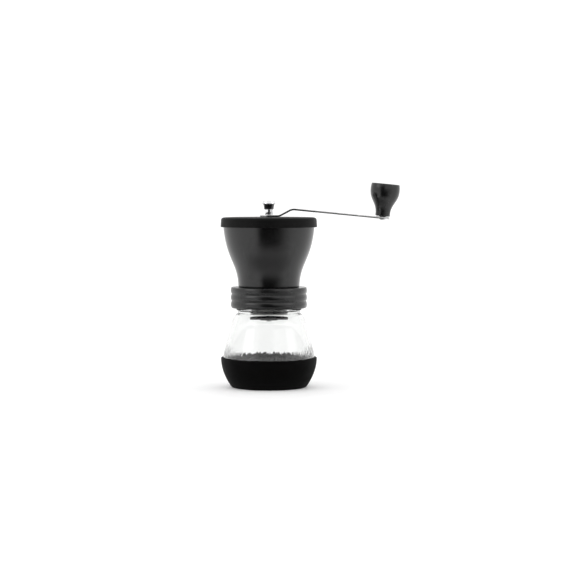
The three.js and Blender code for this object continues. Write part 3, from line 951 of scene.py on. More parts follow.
class Surface:
    """A material being built: one Principled BSDF with nodes before it."""

    def __init__(self, name: str, effects: Effects) -> None:
        """Starts the material.

        Args:
            name: Its name.
            effects: The groups it may use.
        """
        self.material = bpy.data.materials.new(name)
        self.material.use_nodes = True
        tree = self.material.node_tree
        tree.nodes.clear()
        self.effects = effects
        self.nodes = Tree(tree)
        self.shader = self.nodes.node("ShaderNodeBsdfPrincipled")
        self.nodes.node("ShaderNodeOutputMaterial", {"Surface": self.shader.outputs[0]})

    def plain(self, **values: Value) -> None:
        """Sets the shader's own inputs, by name, with _ for a space."""
        for name, value in values.items():
            self.shader.inputs[name.replace("_", " ")].default_value = value

    def effect(self, group: ShaderGroup, **values: float) -> bpy.types.bpy_prop_collection:
        """Places a shared group.

        Args:
            group: The group.
            values: Its inputs, by name, with _ for a space.

        Returns:
            Its outputs.
        """
        node = self.nodes.node("ShaderNodeGroup", node_tree=group.group)
        for name, value in values.items():
            node.inputs[name.replace("_", " ")].default_value = value
        return node.outputs

    def mix(self, share: Value, first: Colour | Socket, second: Colour) -> Socket:
        """Mixes two colours.

        Args:
            share: How much of the second there is.
            first: The first colour.
            second: The second colour.

        Returns:
            The mixed colour.
        """
        node = self.nodes.node("ShaderNodeMix", data_type="RGBA")
        self.nodes.feed(node.inputs["Factor"], share)
        if isinstance(first, tuple):
            first = (*first, 1.0)
        self.nodes.feed(node.inputs[6], first)
        node.inputs[7].default_value = (*second, 1.0)
        return node.outputs[2]

    def bump(self, height: Socket, depth: float) -> None:
        """Gives the surface a relief.

        Args:
            height: The relief, from 0 to 1.
            depth: How deep it is, in millimetres.
        """
        inputs = {"Strength": 1.0, "Distance": depth * MM, "Height": height}
        self.feed("Normal", self.nodes.node("ShaderNodeBump", inputs).outputs[0])

    def feed(self, name: str, value: Value) -> None:
        """Links or sets one of the shader's inputs."""
        self.nodes.feed(self.shader.inputs[name], value)


@dataclass(frozen=True)
class MouldedPlastic:
    """Moulded plastic with a fine grain, rubbed lighter along its edges."""

    name: str
    colour: Colour
    worn: Colour
    roughness: float
    spread: float = 0.06
    specular: float = 0.5
    grain: float = 3200.0
    grain_depth: float = 0.006
    wear: float = 0.35

    def build(self, effects: Effects) -> bpy.types.Material:
        """Builds the material.

        Args:
            effects: The shared groups.

        Returns:
            The material.
        """
        surface = Surface(self.name, effects)
        grain = surface.effect(effects.grain, Scale=self.grain, Flow=45.0)
        marks = surface.effect(effects.marks)
        wear = surface.effect(effects.wear, Amount=self.wear, Scale=350.0)
        surface.feed("Base Color", surface.mix(wear["Mask"], self.colour, self.worn))
        n = surface.nodes
        low, high = self.roughness - self.spread, self.roughness + self.spread
        rough = n.ramp(grain["Unevenness"], 0.3, 0.7, low, high)
        smeared = n.math("MULTIPLY", marks["Smears"], self.spread)
        surface.feed("Roughness", n.math("ADD", rough, smeared, clamp=True))
        surface.plain(Specular_IOR_Level=self.specular)
        surface.bump(grain["Height"], self.grain_depth)
        return surface.material


@dataclass(frozen=True)
class MouldedRubber:
    """Matt silicone rubber that holds a little dust."""

    name: str
    colour: Colour
    dusty: Colour
    roughness: float = 0.62
    specular: float = 0.06

    def build(self, effects: Effects) -> bpy.types.Material:
        """Builds the material.

        Args:
            effects: The shared groups.

        Returns:
            The material.
        """
        surface = Surface(self.name, effects)
        grain = surface.effect(effects.grain, Scale=1800.0, Flow=30.0)
        marks = surface.effect(effects.marks, Smear_scale=28.0, Dust_scale=1400.0)
        n = surface.nodes
        dust = n.math("MULTIPLY", marks["Dust"], 0.35)
        surface.feed("Base Color", surface.mix(dust, self.colour, self.dusty))
        surface.feed("Roughness", n.ramp(marks["Smears"], 0.0, 1.0, self.roughness, self.roughness + 0.14))
        surface.plain(Specular_IOR_Level=self.specular)
        surface.bump(grain["Height"], 0.012)
        return surface.material


@dataclass(frozen=True)
class ClearGlass:
    """Pressed clear glass, its surface faintly wavy."""

    name: str
    colour: Colour = (0.93, 0.935, 0.93)
    ripple: float = 0.02
    waves: float = 0.5

    def build(self, effects: Effects) -> bpy.types.Material:
        """Builds the material.

        Args:
            effects: The shared groups.

        Returns:
            The material.
        """
        surface = Surface(self.name, effects)
        surface.plain(Base_Color=(*self.colour, 1.0), Transmission_Weight=1.0, IOR=1.5, Metallic=0.0)
        marks = surface.effect(effects.marks, Smear_scale=22.0)
        n = surface.nodes
        surface.feed("Roughness", n.math("MULTIPLY", marks["Smears"], 0.012))
        ripple = surface.effect(effects.grain, Scale=55.0, Flow=25.0)
        flow = surface.effect(effects.flow)
        faded = n.math("MULTIPLY", flow["Height"], flow["Share"])
        waves = n.math("MULTIPLY", faded, self.waves / self.ripple)
        surface.bump(n.math("ADD", ripple["Height"], waves), self.ripple)
        return surface.material


@dataclass(frozen=True)
class FiredCeramic:
    """Unglazed white ceramic, a little grainy."""

    name: str
    colour: Colour
    stain: Colour

    def build(self, effects: Effects) -> bpy.types.Material:
        """Builds the material.

        Args:
            effects: The shared groups.

        Returns:
            The material.
        """
        surface = Surface(self.name, effects)
        grain = surface.effect(effects.grain, Scale=4200.0, Flow=120.0)
        marks = surface.effect(effects.marks, Smear_scale=160.0)
        n = surface.nodes
        stain = n.math("MULTIPLY", marks["Smears"], 0.3)
        surface.feed("Base Color", surface.mix(stain, self.colour, self.stain))
        surface.feed("Roughness", n.ramp(grain["Unevenness"], 0.3, 0.7, 0.34, 0.5))
        surface.bump(grain["Height"], 0.008)
        return surface.material


@dataclass(frozen=True)
class TurnedMetal:
    """Metal with the fine rings of a lathe on it, bright or satin, with an optional band of painted reflection.
    """

    name: str
    colour: Colour
    roughness: float
    line_depth: float = 0.002
    tarnish: Colour = (0.3, 0.3, 0.3)
    tarnish_share: float = 0.1
    # Painted reflection: between the two heights of band the colour darkens, standing in for a dark reflection.
    band: Point = (0.0, 0.0)
    painted_reflection_colour: Colour = (0.16, 0.16, 0.16)

    def build(self, effects: Effects) -> bpy.types.Material:
        """Builds the material.

        Args:
            effects: The shared groups.

        Returns:
            The material.
        """
        surface = Surface(self.name, effects)
        rings = surface.effect(effects.rings, Scale=5200.0)
        marks = surface.effect(effects.marks, Smear_scale=90.0)
        n = surface.nodes
        dull = n.math("MULTIPLY", marks["Smears"], self.tarnish_share)
        colour = surface.mix(dull, self.colour, self.tarnish)
        # Painted reflection: the colour darkens between two heights.
        if self.band[1] > self.band[0]:
            band = surface.effect(effects.band, Low=self.band[0] * MM, High=self.band[1] * MM)
            colour = surface.mix(band["Mask"], colour, self.painted_reflection_colour)
        surface.feed("Base Color", colour)
        surface.feed("Roughness", n.ramp(marks["Smears"], 0.0, 1.0, self.roughness, self.roughness + 0.07))
        surface.plain(Metallic=1.0)
        surface.bump(rings["Height"], self.line_depth)
        return surface.material


@dataclass(frozen=True)
class PolishedStrip:
    """Stainless strip polished along its length."""

    name: str
    colour: Colour
    roughness: float

    def build(self, effects: Effects) -> bpy.types.Material:
        """Builds the material.

        Args:
            effects: The shared groups.

        Returns:
            The material.
        """
        surface = Surface(self.name, effects)
        lines = surface.effect(effects.brush)
        marks = surface.effect(effects.marks, Smear_scale=70.0)
        n = surface.nodes
        low, high = self.roughness - 0.05, self.roughness + 0.08
        rough = n.ramp(lines["Streaks"], 0.3, 0.7, low, high)
        surface.feed("Roughness", n.math("ADD", rough, n.math("MULTIPLY", marks["Smears"], 0.06)))
        darker = tuple(c * 0.82 for c in self.colour)
        surface.feed("Base Color", surface.mix(lines["Streaks"], self.colour, darker))
        surface.plain(Metallic=1.0)
        surface.bump(lines["Height"], 0.0025)
        return surface.material


class Finishes:
    """The grinder's materials, each made once."""

    def __init__(self, effects: Effects) -> None:
        """Builds them all.

        Args:
            effects: The shared groups.
        """
        self.glass = ClearGlass("clear_glass").build(effects)
        self.rubber = MouldedRubber(
            "black_rubber", (0.0015, 0.0015, 0.0015), (0.01, 0.01, 0.01)
        ).build(effects)
        self.body = MouldedPlastic(
            "dark_grey_plastic", (0.004, 0.004, 0.004), (0.014, 0.014, 0.0145), 0.23, specular=0.5
        ).build(effects)
        self.smoke = MouldedPlastic(
            "smoke_plastic", (0.004, 0.004, 0.004), (0.014, 0.014, 0.0145), 0.2, spread=0.04, grain_depth=0.002
        ).build(effects)
        self.black = MouldedPlastic(
            "black_plastic", (0.0025, 0.0025, 0.0025), (0.01, 0.01, 0.01), 0.5, specular=0.1
        ).build(effects)
        self.ceramic = FiredCeramic("white_ceramic", (0.9, 0.89, 0.86), (0.78, 0.73, 0.64)).build(effects)
        self.steel = TurnedMetal("stainless_steel", (0.62, 0.62, 0.62), 0.2).build(effects)
        # Painted shade: steel darkened for the washer, which sits in the knob's shadow.
        self.steel_in_shade = TurnedMetal("steel_painted_shade", (0.03, 0.03, 0.03), 0.35).build(effects)
        self.rivet = TurnedMetal("rivet_steel", (0.78, 0.78, 0.78), 0.5).build(effects)
        self.strip = PolishedStrip("polished_strip", (0.6, 0.6, 0.6), 0.2).build(effects)
        self.spring = TurnedMetal("spring_steel", (0.5, 0.5, 0.5), 0.24).build(effects)
        # Painted reflection: the dark band on the nut's cone stands in for the dark lid below that the cone
        # reflects.
        self.chrome = TurnedMetal(
            "chrome", (0.82, 0.82, 0.83), 0.07, line_depth=0.00005, band=(172.4, 177.35)
        ).build(effects)
        self.brass = TurnedMetal("brass", (0.66, 0.47, 0.2), 0.27, tarnish=(0.3, 0.2, 0.08)).build(effects)
        self.nylon = MouldedPlastic("nylon", (0.72, 0.69, 0.62), (0.8, 0.78, 0.72), 0.42).build(effects)


@dataclass(frozen=True)
class Shapes:
    """The geometry trees that sub-assemblies share."""

    thread: GeometryTree = field(default_factory=ScrewThread)
    flutes: GeometryTree = field(default_factory=RimFlutes)
    teeth: GeometryTree = field(default_factory=BurrTeeth)
    coil: GeometryTree = field(default_factory=CoilSpring)
    array: GeometryTree = field(default_factory=RoundArray)


@dataclass(frozen=True)
class Workshop:
    """What every sub-assembly is made with."""

    finishes: Finishes
    shapes: Shapes

    def place(
        self, piece: bpy.types.Object, node: str, body: str, slot: str, finish: bpy.types.Material
    ) -> None:
        """Dresses a finished piece and lets it stand for its CAD node.

        Args:
            piece: The piece.
            node: The CAD node that it stands for.
            body: The CAD body that it rides on.
            slot: The record's material slot. Not used.
            finish: Its material.
        """
        piece.data.materials.clear()
        piece.data.materials.append(finish)
        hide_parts(node)
        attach(piece, body)
        LOG.info("%s: %d faces, rides on %s", piece.name, len(piece.data.polygons), body)


# Sub-assemblies


@dataclass
class Jar:
    """The glass jar and the rubber foot that it stands in."""

    shop: Workshop
    foot_base: float = 36.0
    foot_edge: float = 2.5
    foot_wall: float = 2.0
    foot_floor: float = 3.0
    grooves: tuple[float, float, float] = (12.0, 20.0, 28.0)
    groove_half: float = 0.9
    groove_depth: float = 0.6
    gap: float = 0.3
    glass_wall: float = 3.2
    glass_floor: float = 5.2
    shoulder: Point = (36.6, 59.5)
    neck_radius: float = 30.0
    neck_bore: float = 27.0
    neck_start: float = 71.8
    bead: tuple[float, float, float] = (31.6, 74.2, 76.7)
    thread_pitch: float = 4.0
    thread_turns: float = 1.75
    thread_start: float = 80.5
    thread_crest: float = 31.4
    thread_width: float = 2.0
    smooth_degrees: float = 70.0

    def build(self) -> None:
        """Builds the foot and the jar."""
        self.build_foot()
        self.build_glass()

    def foot_radius(self, z: float) -> float:
        """The radius of the foot's outside at height z."""
        extent = Extent.of("foot_cover")
        return self.foot_base + (extent.radius - self.foot_base) * (1 - (1 - z / extent.top) ** 2)

    def foot_bore(self, z: float) -> float:
        """The radius of the foot's inside at height z."""
        extent = Extent.of("foot_cover")
        slope = 2 * (extent.radius - self.foot_base) / extent.top * (1 - z / extent.top)
        return self.foot_radius(z) - self.foot_wall * math.hypot(1, slope)

    def build_foot(self) -> None:
        """Builds the rubber foot: a cup with a rounded lip and three shallow grooves under it."""
        top = Extent.of("foot_cover").top
        outline = Outline(0, 0)
        for middle in self.grooves:
            inner, outer = middle - self.groove_half, middle + self.groove_half
            outline.to(inner, 0, 0.3).to(inner, self.groove_depth, 0.3)
            outline.to(outer, self.groove_depth, 0.3).to(outer, 0, 0.3)
        edge = self.foot_edge
        side = self.foot_radius(edge)
        outline.to(self.foot_base - edge, 0)
        outline.curve((self.foot_base, 0), (side - 0.6, edge * 0.5), (side, edge), 12)
        outline.through([(self.foot_radius(z), z) for z in np.linspace(edge + 0.6, top - 1.2, 28)])
        outline.to(self.foot_radius(top), top, 0.75)
        outline.to(self.foot_bore(top) + 0.1, top, 0.75)
        outline.through([(self.foot_bore(z), z) for z in np.linspace(top - 1.4, self.foot_floor + 2.5, 20)])
        outline.to(self.foot_bore(self.foot_floor + 1) - 1.2, self.foot_floor, 1.2)
        outline.to(0, self.foot_floor)
        piece = turned("rubber_foot", outline, Sides.LARGE)
        self.shop.place(piece, "foot_cover", "jar", "black_rubber", self.shop.finishes.rubber)

    def glass_outline(self) -> Outline:
        """Draws the jar's section, outside first, from the middle of its base to the middle of its floor."""
        extent = Extent.of("glass_jar")
        rim = Extent.of("foot_cover").top
        low = extent.bottom

        def side(z: float) -> float:
            """The jar's outside where the foot holds it."""
            return self.foot_bore(z) - self.gap

        bead_radius, bead_low, bead_high = self.bead
        widest = (side(rim), rim)
        neck_foot = (self.neck_radius + 0.4, self.neck_start)
        inner_shoulder = (self.shoulder[0] - self.glass_wall, self.shoulder[1])
        inner_widest = (widest[0] - self.glass_wall, rim)
        floor = low + self.glass_floor
        outline = Outline(0, low + 0.9)
        outline.to(side(low) - 9.0, low + 0.8, 1.0)
        outline.to(side(low) - 7.6, low, 0.6)
        outline.to(side(low + 0.5) - 2.6, low + 0.1, 2.4)
        outline.through([(side(z), z) for z in np.linspace(low + 3.2, rim, 18)])
        outline.curve((widest[0], 37), (38.5, 50), self.shoulder, 30)
        outline.curve((36.0, 64.1), (34.6, 69.8), neck_foot, 24)
        outline.to(self.neck_radius, self.neck_start + 0.5, 0.4)
        outline.to(self.neck_radius, bead_low, 0.4)
        outline.to(bead_radius, bead_low + 0.9, 0.8)
        outline.to(bead_radius, bead_high - 0.9, 0.8)
        outline.to(self.neck_radius, bead_high, 0.4)
        outline.to(self.neck_radius, self.thread_start - 2.2)
        outline.straight(self.neck_radius, extent.top - 1.6, 0.2)
        outline.to(self.neck_radius, extent.top, 0.9)
        outline.to(self.neck_bore, extent.top, 1.3)
        outline.to(self.neck_bore, self.neck_start + 1)
        outline.curve((self.neck_bore, 69.9), (32.6, 67.8), inner_shoulder, 24)
        outline.curve((35.3, 50), (inner_widest[0], 37), inner_widest, 30)
        outline.curve((inner_widest[0], 20), (39.5, floor + 0.4), (30, floor), 24)
        outline.to(0, floor - 0.5)
        return outline

    def build_glass(self) -> None:
        """Builds the jar with its bead and its outside thread."""
        piece = turned("jar_glass", self.glass_outline(), Sides.LARGE)
        self.shop.shapes.thread.apply(
            piece,
            self.shop.finishes.glass,
            Wall=self.neck_radius * MM,
            Height=(self.thread_crest - self.neck_radius) * MM,
            Width=self.thread_width * MM,
            Pitch=self.thread_pitch * MM,
            Start=self.thread_start * MM,
            Turns=self.thread_turns,
        )
        shade(piece.data, self.smooth_degrees)
        self.shop.place(piece, "glass_jar", "jar", "clear_glass", self.shop.finishes.glass)


@dataclass
class Mill:
    """The mill body, the hopper on it, its bearings and the fixed burr in its holder."""

    shop: Workshop
    collar_top: float = 97.1
    collar_bore: float = 32.0
    ridge_pitch: float = 6.8
    ridge_depth: float = 1.0
    deck: float = 92.5
    ring: tuple[float, float, float] = (27.2, 25.2, 103.0)
    chamber: tuple[float, float, float, float] = (18.5, 21.5, 78.1, 91.8)
    throat: Point = (14.2, 93.4)
    tower: tuple[float, float, float] = (7.6, 5.3, 93.9)
    arm_levels: tuple[float, float] = (96.0, 112.0)
    arm_width: float = 4.0
    arm_count: int = 3
    thread_depth: float = 1.5
    thread_width: float = 1.8
    thread_pitch: float = 4.0
    thread_start: float = 82.5
    thread_turns: float = 1.75
    hopper_foot: float = 29.5
    hopper_wall: float = 1.9
    hopper_mouth: float = 156.0
    bush_bore: float = 3.6
    bush_barrel: float = 5.0
    bush_flange: float = 1.3
    holder_bore: float = 15.8
    holder_radius: float = 18.1
    holder_flange: tuple[float, float] = (76.4, 77.8)
    lug_half_angle: float = 21.0
    lug_count: int = 3
    grip_half_angle: float = 4.0
    grip_count: int = 12

    def build(self) -> None:
        """Builds the whole mill."""
        self.build_body()
        self.build_hopper()
        self.build_bush("lower_bush", "lower_bearing", Flange.FOOT, "mill")
        self.build_bush("upper_bush", "upper_bearing", Flange.TOP, "bush")
        self.build_burr_holder()
        self.build_outer_burr()

    def ridged(self, z: float) -> float:
        """The collar's outer radius at height z."""
        extent = Extent.of("mill_body")
        phase = ((z - extent.bottom) / self.ridge_pitch - 0.5) * math.pi
        return extent.radius - self.ridge_depth * (1 - abs(math.cos(phase)) ** 0.8)

    def build_body(self) -> None:
        """Builds the collar with its inside thread, the chamber, the throat, the tower and its arms."""
        extent = Extent.of("mill_body")
        ring_outer, ring_inner, ring_top = self.ring
        bore, tube, chamber_low, ceiling = self.chamber
        throat, throat_top = self.throat
        outline = Outline(self.collar_bore, extent.bottom, 0.5)
        outline.to(self.ridged(extent.bottom) - 0.3, extent.bottom, 0.6)
        levels = np.linspace(extent.bottom + 0.7, self.collar_top - 1.4, 60)
        outline.through([(self.ridged(z), z) for z in levels])
        outline.to(extent.radius - 0.5, self.collar_top, 1.1)
        outline.to(ring_outer, self.collar_top, 0.3)
        outline.to(ring_outer, ring_top, 0.4)
        outline.to(ring_inner, ring_top, 0.4)
        outline.to(throat, throat_top, 1.0)
        outline.to(throat, ceiling, 0.3)
        outline.to(bore, ceiling, 0.3)
        outline.to(bore, chamber_low, 0.3)
        outline.to(tube, chamber_low, 0.3)
        outline.to(tube, self.deck, 0.5)
        outline.to(self.collar_bore, self.deck, 0.5)
        outline.straight(self.collar_bore, extent.bottom + 1.0, 0.22)
        shell = turned("shell", outline, Sides.LARGE)
        self.shop.shapes.thread.apply(
            shell,
            self.shop.finishes.body,
            Wall=self.collar_bore * MM,
            Height=-self.thread_depth * MM,
            Width=self.thread_width * MM,
            Pitch=self.thread_pitch * MM,
            Start=self.thread_start * MM,
            Turns=self.thread_turns,
        )
        tower_radius, tower_bore, tower_low = self.tower
        section = Outline(tower_bore, tower_low, 0.2)
        section.to(tower_radius - 0.9, tower_low, 0.5)
        section.to(tower_radius, self.arm_levels[0])
        section.to(tower_radius - 0.5, extent.top, 0.8)
        section.to(tower_bore, extent.top, 0.2)
        tower = turned("tower", section, Sides.SMALL)
        piece = joined("mill_casting", [shell, tower, self.spider()])
        shade(piece.data)
        self.shop.place(piece, "mill_body", "mill", "dark_grey_plastic", self.shop.finishes.body)

    def spider(self) -> bpy.types.Object:
        """Builds the three arms that hold the tower in the throat.

        Returns:
            The arms, as one piece.
        """
        _, ring_inner, ring_top = self.ring
        low, high = self.arm_levels
        inner = self.tower[0] - 0.6
        side = [
            (inner, low),
            (self.throat[0] + 4, low),
            (ring_inner + 0.6, ring_top - 0.8),
            (self.throat[0], high - 4),
            (inner, high),
        ]
        arm = prism("spider", side, -self.arm_width / 2, self.arm_width / 2, 0.5)
        arm.data.transform(Matrix.Rotation(math.radians(90), 4, "X"))
        arm.data.transform(Matrix.Rotation(math.radians(90), 4, "Z"))
        self.shop.shapes.array.apply(arm, self.shop.finishes.body, Count=self.arm_count)
        return arm

    def build_hopper(self) -> None:
        """Builds the flared hopper shell."""
        extent = Extent.of("hopper")
        mouth = extent.radius - 0.2
        thin = self.hopper_wall
        outline = Outline(self.hopper_foot - thin, extent.bottom, 0.4)
        outline.to(self.hopper_foot - 0.1, extent.bottom, 0.7)
        waist = (self.hopper_foot + 0.05, extent.bottom + 1.0)
        outline.to(*waist)
        outline.curve((30.7, 121.8), (41.1, 123.1), (mouth, self.hopper_mouth), 64)
        outline.to(extent.radius, extent.top, 0.6)
        outline.to(extent.radius - thin, extent.top, 0.6)
        outline.to(mouth - thin, self.hopper_mouth)
        outline.curve((41.1 - thin, 123.1), (30.7 - thin, 121.8), (waist[0] - thin, waist[1]), 64)
        piece = turned("bean_hopper", outline, Sides.LARGE)
        self.shop.place(piece, "hopper", "mill", "smoke_plastic", self.shop.finishes.smoke)

    def build_bush(self, node: str, name: str, way: Flange, body: str) -> None:
        """Builds a flanged bearing.

        Args:
            node: Its CAD node.
            name: The piece's name.
            way: The end that has the flange.
            body: The body that it rides on.
        """
        extent = Extent.of(node)
        flange, end = extent.bottom, extent.top
        if way is Flange.TOP:
            flange, end = end, flange
        shoulder = flange + self.bush_flange * way.value
        outline = Outline(self.bush_bore, flange, 0.3)
        outline.to(extent.radius, flange, 0.35)
        outline.to(extent.radius, shoulder, 0.35)
        outline.to(self.bush_barrel, shoulder, 0.2)
        outline.to(self.bush_barrel, end, 0.4)
        outline.to(self.bush_bore, end, 0.3)
        piece = turned(name, outline, Sides.SMALL)
        self.shop.place(piece, node, body, "nylon", self.shop.finishes.nylon)

    def build_burr_holder(self) -> None:
        """Builds the ring that holds the fixed burr, with three lugs on its flange."""
        extent = Extent.of("outer_burr_holder")
        flange_low, flange_high = self.holder_flange
        bore, barrel, flange = self.holder_bore, self.holder_radius, extent.radius - 1.2
        outline = Outline(bore, extent.bottom, 0.7)
        outline.to(barrel, extent.bottom, 0.8)
        outline.to(barrel, flange_low, 0.4)
        outline.to(flange, flange_low, 0.4)
        outline.to(flange, flange_high, 0.3)
        outline.to(barrel, flange_high, 0.3)
        outline.to(barrel, extent.top, 0.3)
        outline.to(bore, extent.top, 0.3)
        ring = turned("ring", outline, Sides.MEDIUM)
        half = self.lug_half_angle
        lug_outline = circle(extent.radius, 14, -half, 2 * half) + circle(19.2, 10, -half, 2 * half)[::-1]
        lug = prism("lug", lug_outline, flange_low, flange_high, 0.3)
        self.shop.shapes.array.apply(lug, self.shop.finishes.black, Count=self.lug_count)
        half = self.grip_half_angle
        grip_outline = circle(18.65, 5, -half, 2 * half) + circle(17.6, 5, -half, 2 * half)[::-1]
        grip = prism("grip", grip_outline, extent.bottom + 1.0, flange_low - 0.2, 0.2)
        self.shop.shapes.array.apply(grip, self.shop.finishes.black, Count=self.grip_count)
        piece = joined("burr_holder", [ring, lug, grip])
        shade(piece.data)
        self.shop.place(piece, "outer_burr_holder", "mill", "black_plastic", self.shop.finishes.black)

    def build_outer_burr(self) -> None:
        """Builds the fixed ceramic burr with its inward teeth."""
        extent = Extent.of("outer_burr")
        outline = Outline(14.55, extent.bottom + 0.3)
        outline.to(14.9, extent.bottom, 0.1)
        outline.to(extent.radius, extent.bottom, 0.5)
        outline.to(extent.radius, extent.top, 0.6)
        outline.to(13.6, extent.top, 0.2)
        outline.straight(13.0, extent.top - 3.4, 0.3)
        outline.straight(13.5, 84.0, 0.3)
        outline.straight(14.5, extent.bottom + 0.5, 0.3)
        piece = turned("fixed_burr", outline, Sides.LARGE)
        self.shop.shapes.teeth.apply(
            piece,
            self.shop.finishes.ceramic,
            Teeth=16.0,
            Lean=-0.06,
            Low=(extent.bottom + 0.4) * MM,
            High=(extent.top - 0.2) * MM,
            Fine_depth=0.35 * MM,
            Coarse_depth=1.1 * MM,
            Inside_of=15.2 * MM,
        )
        self.shop.place(piece, "outer_burr", "mill", "white_ceramic", self.shop.finishes.ceramic)


@dataclass
class Lid:
    """The hopper's lid."""

    shop: Workshop
    skirt: float = 1.6
    plate: float = 2.3
    hole: float = 4.3
    ring_outer: float = 41.0
    ring_wall: float = 1.8
    ring_depth: float = 4.2

    def build(self) -> None:
        """Builds the lid: a domed plate, a skirt and the ring that centres it in the hopper."""
        extent = Extent.of("hopper_lid")
        under = extent.top - self.plate
        outline = Outline(self.hole, under, 0.3)
        outline.to(self.ring_outer - self.ring_wall, under, 0.4)
        outline.to(self.ring_outer - self.ring_wall, under - self.ring_depth, 0.5)
        outline.to(self.ring_outer, under - self.ring_depth, 0.7)
        outline.to(self.ring_outer, under, 0.3)
        outline.to(extent.radius - self.skirt - 0.3, under, 0.6)
        outline.to(extent.radius - self.skirt, extent.bottom, 0.5)
        outline.to(extent.radius, extent.bottom, 0.6)
        outline.to(extent.radius - 0.35, extent.top - 3.1)
        outline.curve(
            (extent.radius - 0.5, extent.top - 1.1),
            (extent.radius - 1.6, extent.top - 0.25),
            (extent.radius - 4.4, extent.top - 0.12),
            14,
        )
        outline.to(12.0, extent.top - 0.02)
        outline.to(self.hole, extent.top, 0.35)
        piece = turned("lid_shell", outline, Sides.LARGE)
        self.shop.place(piece, "hopper_lid", "lid", "black_plastic", self.shop.finishes.black)


@dataclass
class Drive:
    """The shaft with what is fixed on it, and the spring that pushes the cone down."""

    shop: Workshop
    shaft_radius: float = 3.5
    hex_flats: float = 5.8
    low_hex: tuple[float, float] = (69.0, 92.6)
    high_hex: tuple[float, float] = (164.1, 166.7)
    groove: tuple[float, float, float] = (2.9, 144.0, 145.4)
    low_tip: float = 2.4
    high_tip: float = 2.3
    thread_pitch: float = 0.8
    thread_height: float = 0.2
    thread_width: float = 0.7
    thread_turns: float = 40.0
    clip_opening: float = 23.0
    clip_lip: float = 3.25
    clip_bore: float = 4.3
    coil_radius: float = 5.3
    coil_wire: float = 0.55
    coil_turns: float = 5.0

    def build(self) -> None:
        """Builds the shaft, its clip, its washer and the spring."""
        self.build_shaft()
        self.build_washer("thrust_washer", "thrust_ring", 3.8, "shaft")
        self.build_washer("spring_washer", "spring_seat", 4.1, "burr")
        self.build_clip()
        self.build_spring()

    def build_shaft(self) -> None:
        """Builds the shaft: round in the middle, a hexagon at each end and a thread at each tip."""
        extent = Extent.of("drive_shaft")
        groove_radius, groove_low, groove_high = self.groove
        r = self.shaft_radius
        tip, shoulder = self.low_tip, self.low_hex[0] + 0.5
        low_end = Outline(0, extent.bottom).to(tip, extent.bottom, 0.5)
        low_end.straight(tip, shoulder, 0.1).to(0, shoulder)
        lower = turned("lower", low_end, Sides.SMALL)
        self.cut_thread(lower, tip, extent.bottom + 0.5)
        middle = Outline(0, self.low_hex[1] - 0.6).to(r, self.low_hex[1] - 0.6, 0.3)
        middle.to(r, groove_low).to(groove_radius, groove_low).to(groove_radius, groove_high).to(r, groove_high)
        middle.to(r, self.high_hex[0] + 0.6, 0.3).to(0, self.high_hex[0] + 0.6)
        rod = turned("rod", middle, Sides.SMALL)
        flats = circle(self.hex_flats / math.sqrt(3), 6)
        low_key = prism("low_key", flats, *self.low_hex, 0.25)
        high_key = prism("high_key", flats, *self.high_hex, 0.25)
        tip, shoulder = self.high_tip, self.high_hex[1] - 0.5
        high_end = Outline(0, shoulder).to(tip, shoulder).straight(tip, extent.top - 0.5, 0.1)
        high_end.to(tip, extent.top, 0.5).to(0, extent.top)
        upper = turned("upper", high_end, Sides.SMALL)
        self.cut_thread(upper, tip, self.high_hex[1] + 0.3)
        piece = joined("steel_shaft", [lower, rod, low_key, high_key, upper])
        shade(piece.data)
        self.shop.place(piece, "drive_shaft", "shaft", "stainless_steel", self.shop.finishes.steel)

    def cut_thread(self, tip: bpy.types.Object, root: float, start: float) -> None:
        """Raises a fine thread on one of the shaft's tips.

        Args:
            tip: The tip.
            root: Its radius.
            start: Where the thread starts.
        """
        self.shop.shapes.thread.apply(
            tip,
            self.shop.finishes.steel,
            Wall=root * MM,
            Height=self.thread_height * MM,
            Width=self.thread_width * MM,
            Pitch=self.thread_pitch * MM,
            Start=start * MM,
            Turns=self.thread_turns,
        )

    def build_washer(self, node: str, name: str, bore: float, body: str) -> None:
        """Builds a flat washer.

        Args:
            node: Its CAD node.
            name: The piece's name.
            bore: Its hole's radius.
            body: The body that it rides on.
        """
        extent = Extent.of(node)
        outline = Outline(bore, extent.bottom, 0.12).to(extent.radius, extent.bottom, 0.12)
        outline.to(extent.radius, extent.top, 0.2).to(bore, extent.top, 0.15)
        piece = turned(name, outline, Sides.SMALL)
        self.shop.place(piece, node, body, "spring_steel", self.shop.finishes.spring)

    def build_clip(self) -> None:
        """Builds the clip that sits in the shaft's groove: a ring open on one side, with three inner lips."""
        extent = Extent.of("shaft_clip")
        opening = self.clip_opening
        outer = circle(extent.radius, 48, opening, 360 - 2 * opening)
        inner: list[Point] = []
        for x, y in circle(1.0, 96, opening + 22, 316 - 2 * opening):
            turn = math.degrees(math.atan2(y, x)) % 120
            lip = self.clip_lip if abs(turn - 60) < 16 else self.clip_bore
            inner.append((x * lip, y * lip))
        piece = prism("groove_clip", outer + inner[::-1], extent.bottom, extent.top, 0.08)
        self.shop.place(piece, "shaft_clip", "shaft", "spring_steel", self.shop.finishes.spring)

    def build_spring(self) -> None:
        """Builds the spring that pushes the cone down, where its CAD node stands."""
        low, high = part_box("burr_spring")
        wire = self.coil_wire
        piece = new_piece("cone_spring", bpy.data.meshes.new("cone_spring"))
        self.shop.shapes.coil.apply(
            piece,
            self.shop.finishes.spring,
            Radius=self.coil_radius * MM,
            Wire=wire * MM,
            Low=low.z + wire * MM,
            High=high.z - wire * MM,
            Turns=self.coil_turns,
        )
        piece.data.materials.clear()
        piece.data.materials.append(self.shop.finishes.spring)
        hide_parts("burr_spring")
        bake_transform(piece)
        LOG.info("cone_spring: blends between the shaft and the cone")


